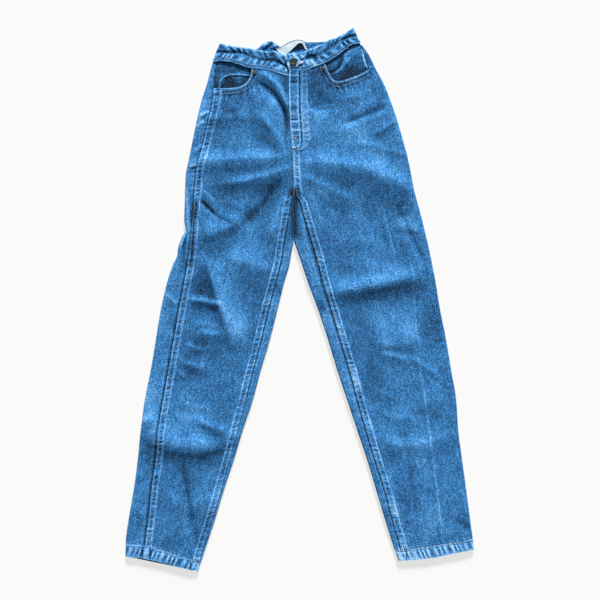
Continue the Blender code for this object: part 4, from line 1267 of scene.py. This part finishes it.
def front_panel(leg, context):
    """A front panel: its turned and stitched pocket mouth is pale at the edge, rubbed and painted
    as a highlight, and dashed along its sewing. Gives back the lines to stitch along."""
    lines = []
    plan = front_plan(leg, fineness(context), 6, 54)
    x, y = plan[..., 0], plan[..., 1]
    layer, distance, along = mouth_layer(leg, x, y)
    height = cloth_height(leg, x, y) + layer
    wear_and_shade = wear_and_shade_of(leg, x, y, height - layer)
    dashes = 0.5 + 0.5 * np.sin(2 * np.pi * (along + 0.4 * distance) / 4.4)
    pleats = uneven_wave((along + 0.35 * distance) / 7.5, 0.7)
    # The lip of the mouth: rubbed pale and painted as a highlight
    wear_and_shade += 0.95 * bell(distance, 0, 1.9)
    wear_and_shade -= 1.25 * dashes * bell(distance, 6, 2.4)
    wear_and_shade -= 0.5 * dashes * bell(distance, 12.5, 2.2)
    wear_and_shade += 0.34 * pleats * bell(distance, 14, 9)
    outer = with_height(plan, height)
    add_cloth("front_" + leg, outer, lowered(outer, DENIM), grain_of(leg, x, y), wear_and_shade, context)
    mouth = path(POCKET_MOUTH[leg], np.linspace(0.02, 0.97, 80))
    way = np.gradient(mouth, axis=0)
    way /= np.hypot(*way.T)[:, None]
    turn = np.stack([way[:, 1], -way[:, 0]], axis=-1)
    if turn[40, 1] > 0:
        turn = -turn
    for inset in (4.0, 10.5):
        line = mouth + turn * inset
        lines.append(with_height(line, front_height(leg, *line.T)))
    return lines


class JEANS_OT_fronts(bpy.types.Operator):
    """Front panels with their scooped, turned and stitched pocket mouths"""

    bl_idname = "jeans.fronts"
    bl_label = "Front Panels"

    def execute(self, context):
        lines = sum((front_panel(leg, context) for leg in LEGS), [])
        sew("pocket_stitches", lines, context)
        return {"FINISHED"}


def back_panels(leg, context):
    """A back panel and its yoke: a wall inside the grid of back_points, with painted shade along
    its edges where they tuck under the seams of the front.
    Gives back the lines to stitch along."""
    finer = fineness(context)
    lines = []
    outer, crotch_row = back_points(leg, finer)
    turn = normals(outer)
    last = outer.shape[1] - 1
    inner_edge = last - INNER_COLUMNS
    under = slice(OUTER_COLUMNS, inner_edge)
    if turn[5, 2 * OUTER_COLUMNS, 2] > 0:
        turn = -turn
    turn[:, 0] = turn[:, last] = (0, 0, 1)
    turn[:crotch_row, inner_edge - 4:] = (0, 0, -1)
    turn[[0, -1], :, 1] = 0
    turn /= np.linalg.norm(turn, axis=-1, keepdims=True)
    inner = outer - DENIM * turn
    cells = np.ones((outer.shape[0] - 1, last), dtype=bool)
    cells[:crotch_row, inner_edge:] = False
    x, y = outer[..., 0], outer[..., 1]
    wear_and_shade = wear_and_shade_of(leg, x, y, outer[..., 2] + SEAM_DROP)
    wear_and_shade[:, :OUTER_COLUMNS] += 0.14
    wear_and_shade[:, inner_edge:] += 0.22
    wear_and_shade[:, under] = 0.1 - 0.09 * fold_sum(UNDER_CREASES, x, y)[:, under]
    # Painted shade in the step under the front's seams, fading over two columns, then a paler column
    for column, change in enumerate((-1.1, -0.35, 0.2)):
        wear_and_shade[:, [column, last - column]] += change
    grain = grain_of(leg, x, y)
    split = YOKE_ROWS * finer[0]
    upper = slice(0, split + 1)
    apart = np.array([0, 0.3, 0])
    add_cloth("yoke_" + leg, outer[upper] + apart, inner[upper] + apart, grain[upper],
              wear_and_shade[upper], context, cells[:split])
    add_cloth("back_" + leg, outer[split:], inner[split:], grain[split:], wear_and_shade[split:], context,
              cells[split:])
    for row in (split - 1, split + 1):
        lines.append(outer[row, OUTER_COLUMNS + 5:inner_edge - 3])
    for inset in (2.5, 8.5):
        y_line = np.linspace(470, 215, 80)
        x_line = np.full_like(y_line, CENTRE_BACK_X + SIDE[leg] * inset)
        height = under_height(leg, x_line, y_line)
        lines.append(np.stack([x_line, y_line, height], axis=-1))
    return lines


class JEANS_OT_backs(bpy.types.Operator):
    """Back panels and yokes, which wrap round the edges of the legs"""

    bl_idname = "jeans.backs"
    bl_label = "Back Panels and Yokes"

    def execute(self, context):
        lines = sum((back_panels(leg, context) for leg in LEGS), [])
        sew("back_stitches", [lowered(line, 0.1) for line in lines], context)
        return {"FINISHED"}


def facing_plan(leg, rows, columns):
    """Plan of a pocket facing, from the waist seam down to its end under the front panel."""
    waist = [(x, y - 2 * SEAM_GAP) for x, y in FACING_WAIST[leg]]
    inwards = -SIDE[leg] * SEAM_GAP
    start_y = np.linspace(waist[0][1], FACING_END[leg][0][1], rows)
    first = np.stack([curve(OUTSEAM[leg], start_y) + inwards, start_y], axis=-1)
    waist[0] = tuple(first[0])
    last = np.linspace(waist[-1], FACING_END[leg][-1], rows)
    end = [tuple(first[-1])] + FACING_END[leg][1:]
    u = np.tile(np.linspace(0, 1, columns), (rows, 1))
    weight = 1 - np.linspace(0, 1, rows)
    return blend_plan(lambda u: path(waist, u), lambda u: path(end, u), first, last, u, weight)


def facing_relief(leg, x, y):
    """Height and fading of a pocket facing: sunk under the front panel, with its own folds, painted
    lighter and darker with them as painted highlight and shade, the edge of the layer over it,
    rubbed pale and painted as a highlight, painted shade deep in the pocket and along its mouth, and
    painted light under the waist seam where the band's shadow falls."""
    folds = fold_sum(FACING_FOLDS[leg], x, y)
    height = cloth_height(leg, x, y) - FACING_DROP + folds
    below = y < curve(POCKET_MOUTH[leg][:-1], x)
    under_front = cloth_height(leg, x, y) - DENIM - 0.25
    height = np.where(below, np.minimum(height, under_front), height)
    # Painted highlight and shade on the facing's folds, and painted shade just inside the pocket mouth
    wear_and_shade = 0.3 * folds - 0.6 * bell(nearest_on(POCKET_MOUTH[leg], x, y)[0], 0, 9)
    from_waist = np.abs(y - curve(WAIST_SEAM[leg], x))
    edge = nearest_on(FACING_EDGE[leg], x, y)[0]
    if leg == "right":
        bag = smooth_step(0, 3, curve(FACING_EDGE[leg][1:], x) - y) * smooth_step(-162, -158, x)
        height -= 1.2 * bag
        # Painted light under the waist seam against the band's cast shadow; the facing painted darker as
        # shade, the bag a little more
        wear_and_shade += 0.35 * bell(from_waist, 4, 5) - 0.3 - 0.08 * bag
        # Painted shade deep in the pocket
        wear_and_shade -= 0.45 * bell(x, -134, 7) * bell(y, 433, 9)
        wear_and_shade -= 0.35 * bell(x, -166, 5) * bell(y, 434, 16)
    else:
        # Painted shade deep in the pocket
        wear_and_shade -= 0.06 + 0.6 * bell(x, 98, 28) * bell(y, 451, 13)
        # Painted light under the waist seam against the band's cast shadow
        wear_and_shade += 0.3 * bell(from_waist, 9, 6) * smooth_step(84, 96, x)
    # The edge of the layer over the facing: raised, rubbed pale and painted as a highlight
    return height + 0.5 * bell(edge, 0, 2.2), wear_and_shade + 1.2 * bell(edge, 0, 1.9)


class JEANS_OT_facings(bpy.types.Operator):
    """Pocket facings, seen in the scooped mouths"""

    bl_idname = "jeans.facings"
    bl_label = "Pocket Facings"

    def execute(self, context):
        for leg in LEGS:
            plan = facing_plan(leg, 60, 90)
            x, y = plan[..., 0], plan[..., 1]
            height, wear_and_shade = facing_relief(leg, x, y)
            outer = with_height(plan, height)
            add_cloth("facing_" + leg, outer, lowered(outer, DENIM), grain_of(leg, x, y), wear_and_shade, context)
        return {"FINISHED"}


def front_band_plan(leg, rows, columns):
    """Plan of half the front waistband, from its top edge to the waist seam."""
    top, seam = BAND_TOP[leg], [(x, y + 2 * SEAM_GAP) for x, y in WAIST_SEAM[leg]]
    closure = SIDE[leg] * SEAM_GAP / 2
    seam[-1] = (seam[-1][0] + closure, seam[-1][1])
    side_y = np.linspace(top[0][1], seam[0][1], rows)
    first = np.stack([curve(OUTER[leg], side_y), side_y], axis=-1)
    top = [tuple(first[0])] + top[1:-1] + [(top[-1][0] + closure, top[-1][1])]
    seam[0] = tuple(first[-1])
    last = np.linspace(top[-1], seam[-1], rows)
    shares = np.concatenate([[0, 0.006, 0.016, 0.03, 0.05], np.linspace(0.07, 1, columns)])
    u = np.tile(shares, (rows, 1))
    weight = 1 - np.linspace(0, 1, rows)
    return blend_plan(lambda u: path(top, u), lambda u: path(seam, u), first, last, u, weight)


def neckline(x, y):
    """How far the back of the band stands out above the front, and how far it curls up there."""
    shown = y - np.interp(x, *FRONT_TOP.T) - 3
    return shown, np.minimum(0.15 * np.maximum(shown, 0), 1.6)


def band_relief(along, across, seed):
    """Relief and fading of a waistband that the wash has drawn in: a rolled top edge, a wandering
    crease at mid height, ribs across both halves, and a flat sewn margin at the seam. The ribs are
    paler, partly worn and partly painted highlight, and the crease darker as painted shade."""
    crease_at = 0.45 + 0.08 * np.sin(along / 31 + seed) + 0.06 * np.sin(along / 11 + 2 * seed)
    crease = bell(across, crease_at, 0.08)
    crease *= 0.75 + 0.25 * np.sin(along / 17 + seed)
    upper = uneven_wave((along + 18 * across + 3 * np.sin(along / 7)) / 14.5, seed)
    upper = upper * bell(across, 0.2, 0.19)
    lower = uneven_wave((along - 22 * across + 3 * np.sin(along / 9)) / 13, seed + 1)
    lower = lower * bell(across, 0.68, 0.16)
    small = uneven_wave((along + 25 * across) / 6.3, seed + 3) * bell(across, 0.5, 0.3)
    swell = uneven_wave(along / 38, seed + 2)
    relief = 1.35 * upper + 1.45 * lower - 1.9 * crease + 0.4 * swell + 0.12 * small
    lines = bell(across, 0.82, 0.035) + bell(across, 0.955, 0.04)
    # Paler on the ribs, partly worn and partly painted highlight; darker in the crease as painted shade
    wear_and_shade = 0.16 + 0.55 * upper + 0.75 * lower - 1.0 * crease + 0.2 * swell + 0.15 * small
    wear_and_shade += 0.22 * bell(across, 0.66, 0.14)
    wear_and_shade += 0.6 * bell(across, 0.03, 0.05) + 0.5 * lines
    wear_and_shade -= 0.55 * bell(across, 0.89, 0.035)
    return relief, wear_and_shade


def front_band(leg, context):
    """Half the front waistband: the cloth's height with the band's relief, lifted at the lapped
    end and level under the button. Gives back the lines to stitch along."""
    plan = front_band_plan(leg, 27, 110)
    x, y = plan[..., 0], plan[..., 1]
    across = np.linspace(0, 1, plan.shape[0])[:, None]
    relief, wear_and_shade = band_relief(np.abs(x) + 200, across, 0.6 if leg == "right" else 2.2)
    height = cloth_height(leg, x, y) + 0.9
    height += relief * quarter_round(np.abs(x - curve(OUTER[leg], y)), EDGE_WIDTH)
    height -= 0.8 * bell(across, 0, 0.05)
    if leg == "left":
        height += 0.8 * (1 - smooth_step(0, 40, x + 30))
        from_button = np.hypot(x - BUTTON[0], y - BUTTON[1])
        seat = 1 - smooth_step(9, BUTTON_SEAT_REACH, from_button)
        height += (BUTTON_SEAT_Z - height) * seat
        wear_and_shade += 0.75 * bell(from_button, 9.5, 2.2)
        wear_and_shade += 1.3 * bell(nearest_on(LAP, x, y)[0], 0, 2.3)
        pinched = fold_sum(BAND_PINCHES, x, y)
        height += 0.3 * pinched
        # Painted highlight on the pinched crests and painted shade in their troughs
        wear_and_shade += 0.8 * pinched
    outer = with_height(plan, height)
    inner = lowered(outer, BAND_WALL)
    inner[:, 0, 2] = 2.2
    inner[:, 1:3, 2] = np.minimum(inner[:, 1:3, 2], 2.6)
    add_cloth("waistband_front_" + leg, outer, inner, cross_grain(x, y), wear_and_shade, context)
    return [outer[2, 6:], outer[21, 6:], outer[25, 6:]]


def back_band(context):
    """The back waistband: flat behind the front, and folded, worn and curled up where the
    neckline shows it, with painted highlight and shade on its folds and painted shade in a hollow
    below the label. Gives back the line to stitch along."""
    stations = np.linspace(0, 1, 200)[None]
    seam = np.array([(x, y + SEAM_GAP) for x, y in BACK_WAIST], dtype=float)
    seam_x = np.interp(stations, [0, 0.57, 1], seam[:, 0])
    low = np.stack([seam_x, np.interp(seam_x, *seam.T)], axis=-1)
    high = path(BACK_TOP, stations)
    plan = low + (high - low) * np.linspace(0, 1, 22)[:, None, None]
    x, y = plan[..., 0], plan[..., 1]
    shown, curl = neckline(x, y)
    visible = smooth_step(0, 6, shown)
    relief = fold_sum(NECK_FOLDS, x, y) + 0.6 * uneven_wave((x + 0.5 * y) / 10, 0.4)
    outer = with_height(plan, curl + 1.8 + relief * visible)
    # Painted shade in the hollow behind the front of the band, below the label
    hollow_shade = (1 - smooth_step(6, 14, np.hypot((x + 3) / 1.4, y - 500))) * visible
    # Lighter on the folds and darker between them as painted highlight and shade
    wear_and_shade = (0.05 + 0.34 * relief) * visible - 1.9 * hollow_shade
    wear_and_shade += 0.7 * bell(high[..., 1], y, 2.4)
    inner = with_height(plan, curl + UNDER_CLEAR)
    add_cloth("waistband_back", outer, inner, cross_grain(x, y), wear_and_shade, context, inside=0.1)
    return outer[-3, 90:]


class JEANS_OT_waistband(bpy.types.Operator):
    """Front waistband in two lapped halves, and the back waistband seen in the neckline"""

    bl_idname = "jeans.waistband"
    bl_label = "Waistband"

    def execute(self, context):
        lines = front_band("right", context) + front_band("left", context) + [back_band(context)]
        sew("waistband_stitches", lines, context)
        return {"FINISHED"}


class JEANS_OT_seams(bpy.types.Operator):
    """Fly, front rise and felled leg seams, with their puckers and double rows of stitches"""

    bl_idname = "jeans.seams"
    bl_label = "Fly and Felled Seams"

    def execute(self, context):
        crotch, hem = ROWS_ABOVE_CROTCH, ROWS_ABOVE_CROTCH + ROWS_BELOW_CROTCH
        lines = add_strip("outseam_right", "right", "outer", (0, hem), context)
        lines += add_strip("inseam_right", "right", "inner", (crotch, hem), context)
        lines += add_strip("inseam_left", "left", "inner", (crotch, hem), context)
        lines += add_strip("front_rise_seam", "left", "inner", (FLY_ROWS, crotch), context)
        lines += add_strip("fly", "left", "inner", (0, FLY_ROWS), context, fly_relief, 32,
                           (2, 9, 17))
        sew("seam_stitches", lines, context)
        return {"FINISHED"}


def turned_hem(leg, context):
    """The hem of a leg: a flattened tube whose upper side is roped by slanting waves, pale at its
    edges and barred at the leg seams. Gives back the line to stitch along."""
    seam, end = HEM_SEAM[leg], HEM_END[leg]
    shares = np.concatenate([
        [0, 0.002, 0.008, 0.018, 0.034, 0.056, 0.08], np.linspace(0.1, 0.9, 90),
        [0.92, 0.944, 0.966, 0.982, 0.992, 0.998, 1],
    ])
    rows = np.linspace(0, 1, 15)[:, None]
    edge_y = seam[0][1] + (end[0][1] - seam[0][1]) * rows
    inseam_y = seam[-1][1] + (end[-1][1] - seam[-1][1]) * rows
    x_outer, x_inner = curve(OUTER[leg], edge_y), curve(INNER[leg], inseam_y)
    x = x_outer + (x_inner - x_outer) * shares
    start_y = curve(seam, x) - HEM_GAP
    y = start_y + (curve(end, x) - start_y) * rows
    from_edge = np.minimum(np.abs(x - x_outer), np.abs(x - x_inner))
    round_off = quarter_round(from_edge, EDGE_WIDTH)
    lean = x - 9 * rows * SIDE[leg]
    wave = uneven_wave(lean / 10.5, 1.1 if leg == "right" else 0.2)
    body = bell(rows, 0.55, 0.42)
    height = cloth_height(leg, x, y) + (0.9 + 1.2 * wave * body) * round_off
    height -= 0.6 * bell(rows, 0.13, 0.07) * round_off
    height[:, [0, -1]] = EDGE_Z
    level_y = y[:, :1] + (y[:, -1:] - y[:, :1]) * shares
    under = np.stack([x, level_y, under_height(leg, x, level_y)], axis=-1)[:, 1:-1]
    outer = np.concatenate([with_height(np.stack([x, y], axis=-1), height), under[:, ::-1]], axis=1)
    turn = normals(outer, closed=True)
    if turn[1, 40, 2] < 0:
        turn = -turn
    turn[..., 1] = 0
    turn /= np.linalg.norm(turn, axis=-1, keepdims=True)
    inner = outer - HEM_WALL * turn
    pale = 0.5 if leg == "right" else 0.7
    ragged = 0.05 + 0.03 * np.sin(x / 2.3) + 0.02 * np.sin(x / 1.1 + 1)
    wear_and_shade = pale + 1.0 * wave * body + 0.9 * bell(rows, ragged, 0.06)
    for low, high in HEM_BLOCKS[leg]:
        block = smooth_step(low - 1, low + 1, x) * (1 - smooth_step(high - 1, high + 1, x))
        sides = bell(x, low, 1.5) + bell(x, high, 1.5)
        wear_and_shade = wear_and_shade * (1 - 0.6 * block) + 0.55 * block - 1.1 * sides
    wear_and_shade = wear_and_shade + 0.4 * bell(rows, 1, 0.08) - 0.3 * bell(rows, 0.16, 0.06)
    wear_and_shade = wear_and_shade + 0.5 * bell(x, x_inner, 9)
    wear_and_shade = np.concatenate([wear_and_shade, 0.1 * wear_and_shade[:, 1:-1][:, ::-1]], axis=1)
    grain = cross_grain(outer[..., 0], outer[..., 1])
    add_cloth("hem_" + leg, outer, inner, grain, wear_and_shade, context, closed=True)
    return [outer[1, 3:len(shares) - 3]]


class JEANS_OT_hems(bpy.types.Operator):
    """Turned-up hems, roped by the wash, as flattened tubes"""

    bl_idname = "jeans.hems"
    bl_label = "Hems"

    def execute(self, context):
        lines = sum((turned_hem(leg, context) for leg in LEGS), [])
        sew("hem_stitches", lines, context)
        return {"FINISHED"}


def back_pocket(leg, context):
    """A plain patch pocket: a flat grid that narrows to a point, puckered round its edge. Gives
    back the lines to stitch along."""
    lines = []
    middle = POCKET_CENTRE[leg]
    down = np.linspace(0, 1, 40)[:, None]
    side = np.linspace(-1, 1, 34)[None]
    half = POCKET_HALF_TOP + (POCKET_HALF_BOTTOM - POCKET_HALF_TOP) * down
    bottom = POCKET_TIP_Y + (POCKET_SIDE_Y - POCKET_TIP_Y) * np.abs(side)
    x = middle + half * side
    y = POCKET_TOP_Y + (bottom - POCKET_TOP_Y) * down
    plan = np.stack([x, y], axis=-1)
    edge = np.minimum((1 - np.abs(side)) * half, (1 - down) * 144)
    margin = bell(edge, 5, 3)
    pucker = 0.1 * uneven_wave((x + y) / 8, 0.5) * margin
    outer = with_height(plan, UNDER_CLEAR - 0.2 + pucker)
    inner = with_height(plan, np.full_like(x, 1.0))
    wear_and_shade = 0.5 * margin * uneven_wave((x + y) / 8, 0.5) + 0.9 * bell(edge, 0, 2.5)
    add_cloth("back_pocket_" + leg, outer, inner, grain_of(leg, x, y), wear_and_shade, context)
    for inset in (2, 5):
        ring = np.concatenate([outer[:-inset, inset], outer[-inset, inset:-inset],
                               outer[:-inset, -inset - 1][::-1]])
        lines.append(ring)
    lines.append(outer[5, 2:-2])
    return lines


class JEANS_OT_back_pockets(bpy.types.Operator):
    """Plain patch pockets under the seat"""

    bl_idname = "jeans.back_pockets"
    bl_label = "Back Pockets"

    def execute(self, context):
        lines = sum((back_pocket(leg, context) for leg in LEGS), [])
        sew("back_pocket_stitches", lines, context)
        return {"FINISHED"}


class JEANS_OT_label(bpy.types.Operator):
    """Bare woven label sewn to the inside of the back waistband"""

    bl_idname = "jeans.label"
    bl_label = "Waist Label"

    def execute(self, context):
        colours = context.scene.jeans_colours
        cream = shared("bare woven label", label_material, tuple(colours.label))
        u = np.linspace(0, 1, 64)
        share = np.linspace(0, 1, 14)[:, None, None]
        plan = path(LABEL_TOP, u)[None] * (1 - share) + path(LABEL_BOTTOM, u)[None] * share
        x, y = plan[..., 0], plan[..., 1]
        curl = neckline(x, y)[1]
        buckle = 0.35 * np.sin((x + y) / 5.0) * share[..., 0]
        outer = with_height(plan, 0.4 * curl + LABEL_Z + 0.5 * buckle)
        inner = lowered(outer, LABEL_WALL)
        cells = np.ones((outer.shape[0] - 1, outer.shape[1] - 1), dtype=bool)
        add_wall("waist_label", outer, inner, cells, cream, least=0.31)
        dark = shared("dark label thread", thread_material, linear("#2B3A4C"))
        add_stitches("label_stitches", [outer[1, 1:-1]], dark, 5.0, 3.4, 0.75)
        return {"FINISHED"}


def turned(form, radius, seat, sides, x, y):
    """A closed turned body on a seat: a form's rows carried round an upright axis."""
    angles = np.arange(sides) * 2 * np.pi / sides
    profile = np.array([(share * radius, seat + height) for share, height in form])
    ring = np.stack([np.cos(angles), np.sin(angles)], axis=-1)
    plan = np.array([x, y]) + profile[:, None, :1] * ring[None]
    grid = with_height(plan, np.repeat(profile[:, 1:], sides, axis=1))
    points = grid.reshape(-1, 3)
    index = np.arange(len(points)).reshape(len(profile), sides)
    ahead = np.roll(index, -1, axis=1)
    sides_faces = np.stack([index[:-1], ahead[:-1], ahead[1:], index[1:]], axis=-1).reshape(-1, 4)
    faces = sides_faces.tolist() + [index[0][::-1].tolist(), index[-1].tolist()]
    return points, faces


class JEANS_OT_hardware(bpy.types.Operator):
    """Waist button, pocket rivets, buttonhole and bar tacks"""

    bl_idname = "jeans.hardware"
    bl_label = "Button, Rivets and Tacks"

    def execute(self, context):
        colours = context.scene.jeans_colours
        dark = times(0.5, colours.button)
        button_metal = shared("antiqued button metal", metal_material, dark, tuple(colours.button), 0.5)
        x, y, radius = BUTTON
        points, faces = turned(BUTTON_FORM, radius, BUTTON_SEAT_Z, 48, x, y)
        button = add_mesh("waist_button", points, faces, button_metal)
        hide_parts("waist_button")
        dark = times(0.35, colours.rivet)
        copper = shared("rubbed copper", metal_material, dark, tuple(colours.rivet), 0.45)
        for leg in LEGS:
            x, y, radius = RIVETS[leg]
            near = np.array([0.0, radius, -radius])
            spot_x, spot_y = np.meshgrid(x + near, y + near)
            seat = front_height(leg, spot_x, spot_y).max()
            points, faces = turned(RIVET_FORM, radius, seat, 32, x, y)
            rivet = add_mesh("rivet_" + leg, points, faces, copper)
            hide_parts("rivet_" + leg)
        hole = path(BUTTONHOLE, np.linspace(0, 1, 40))
        level = BUTTON_SEAT_Z + 0.6
        lines = []
        for offset in (-BUTTONHOLE_HALF, BUTTONHOLE_HALF):
            lines.append(with_height(hole + np.array([0, offset]), np.full(40, level)))
        for (x0, y0), (x1, y1) in BAR_TACKS:
            xs, ys = np.linspace(x0, x1, 8), np.linspace(y0, y1, 8)
            lines.append(np.stack([xs, ys, cloth_height("left", xs, ys) + 1.6], axis=-1))
        bright = shared("bright thread", thread_material, linear("#E8F6FD"))
        add_stitches("buttonhole_and_tacks", lines, bright, 1.5, 2.2, 0.8)
        return {"FINISHED"}


class JEANS_OT_stage(bpy.types.Operator):
    """Pale floor, soft key light from the waist end, fill light and the camera above"""

    bl_idname = "jeans.stage"
    bl_label = "Floor, Lights and Camera"

    def execute(self, context):
        stage = context.scene.jeans_stage
        half, level = FLOOR_HALF, FLOOR_Z * MM
        mesh = bpy.data.meshes.new("floor")
        corners = [(-half, -half, level), (half, -half, level), (half, half, level), (-half, half, level)]
        mesh.from_pydata(corners, [], [(0, 1, 2, 3)])
        paper, _, shader = new_material("pale paper")
        # Paper lit a little from beneath, which keeps the cast shadows pale
        shader.inputs["Base Color"].default_value = (*times(0.26, stage.floor), 1.0)
        shader.inputs["Roughness"].default_value = 0.9
        shader.inputs["Emission Color"].default_value = (*stage.floor, 1.0)
        shader.inputs["Emission Strength"].default_value = 0.74
        mesh.materials.append(paper)
        floor = bpy.data.objects.new("floor", mesh)
        context.scene.collection.objects.link(floor)
        sun = bpy.data.objects.new("key_light", bpy.data.lights.new("key_light", "SUN"))
        sun.data.energy = stage.sun_strength
        sun.data.angle = radians(10)
        sun.rotation_euler = (stage.sun_elevation - radians(90), 0, radians(-8))
        context.scene.collection.objects.link(sun)
        world = bpy.data.worlds.new("soft fill")
        world.use_nodes = True
        sky = world.node_tree.nodes["Background"]
        sky.inputs["Color"].default_value = (0.93, 0.96, 1.0, 1.0)
        sky.inputs["Strength"].default_value = stage.sky_strength
        context.scene.world = world
        camera = bpy.data.objects.new("camera", bpy.data.cameras.new("camera"))
        camera.location = (0, -0.001, stage.camera_height)
        camera.data.sensor_width = 36
        camera.data.lens = 36 * stage.camera_height / stage.view_width
        camera.data.clip_end = 20
        context.scene.collection.objects.link(camera)
        context.scene.camera = camera
        context.scene.view_settings.view_transform = "Standard"
        return {"FINISHED"}


PIECES = (
    JEANS_OT_fronts, JEANS_OT_backs, JEANS_OT_facings, JEANS_OT_waistband, JEANS_OT_seams,
    JEANS_OT_hems, JEANS_OT_back_pockets, JEANS_OT_label, JEANS_OT_hardware, JEANS_OT_stage,
)


class JEANS_PT_panel(bpy.types.Panel):
    """Sizes, colours and the steps of the model"""

    bl_label = "Laid-out Jeans"
    bl_space_type = "VIEW_3D"
    bl_region_type = "UI"
    bl_category = "Jeans"

    def draw(self, context):
        scene = context.scene
        for group in (scene.jeans_cloth, scene.jeans_colours, scene.jeans_stage):
            box = self.layout.box()
            for name in group.__annotations__:
                box.prop(group, name)
        for operator in PIECES:
            self.layout.operator(operator.bl_idname)


CLASSES = (JeansCloth, JeansColours, JeansStage, *PIECES, JEANS_PT_panel)


def register():
    """Adds the classes and their settings to Blender."""
    for item in CLASSES:
        bpy.utils.register_class(item)
    bpy.types.Scene.jeans_cloth = bpy.props.PointerProperty(type=JeansCloth)
    bpy.types.Scene.jeans_colours = bpy.props.PointerProperty(type=JeansColours)
    bpy.types.Scene.jeans_stage = bpy.props.PointerProperty(type=JeansStage)


def unregister():
    """Takes the classes and their settings out of Blender."""
    del bpy.types.Scene.jeans_stage
    del bpy.types.Scene.jeans_colours
    del bpy.types.Scene.jeans_cloth
    for item in reversed(CLASSES):
        bpy.utils.unregister_class(item)


def main():
    """Makes every piece in order."""
    register()
    for operator in PIECES:
        group, name = operator.bl_idname.split(".")
        getattr(getattr(bpy.ops, group), name)()


if __name__ == "__main__":
    main()
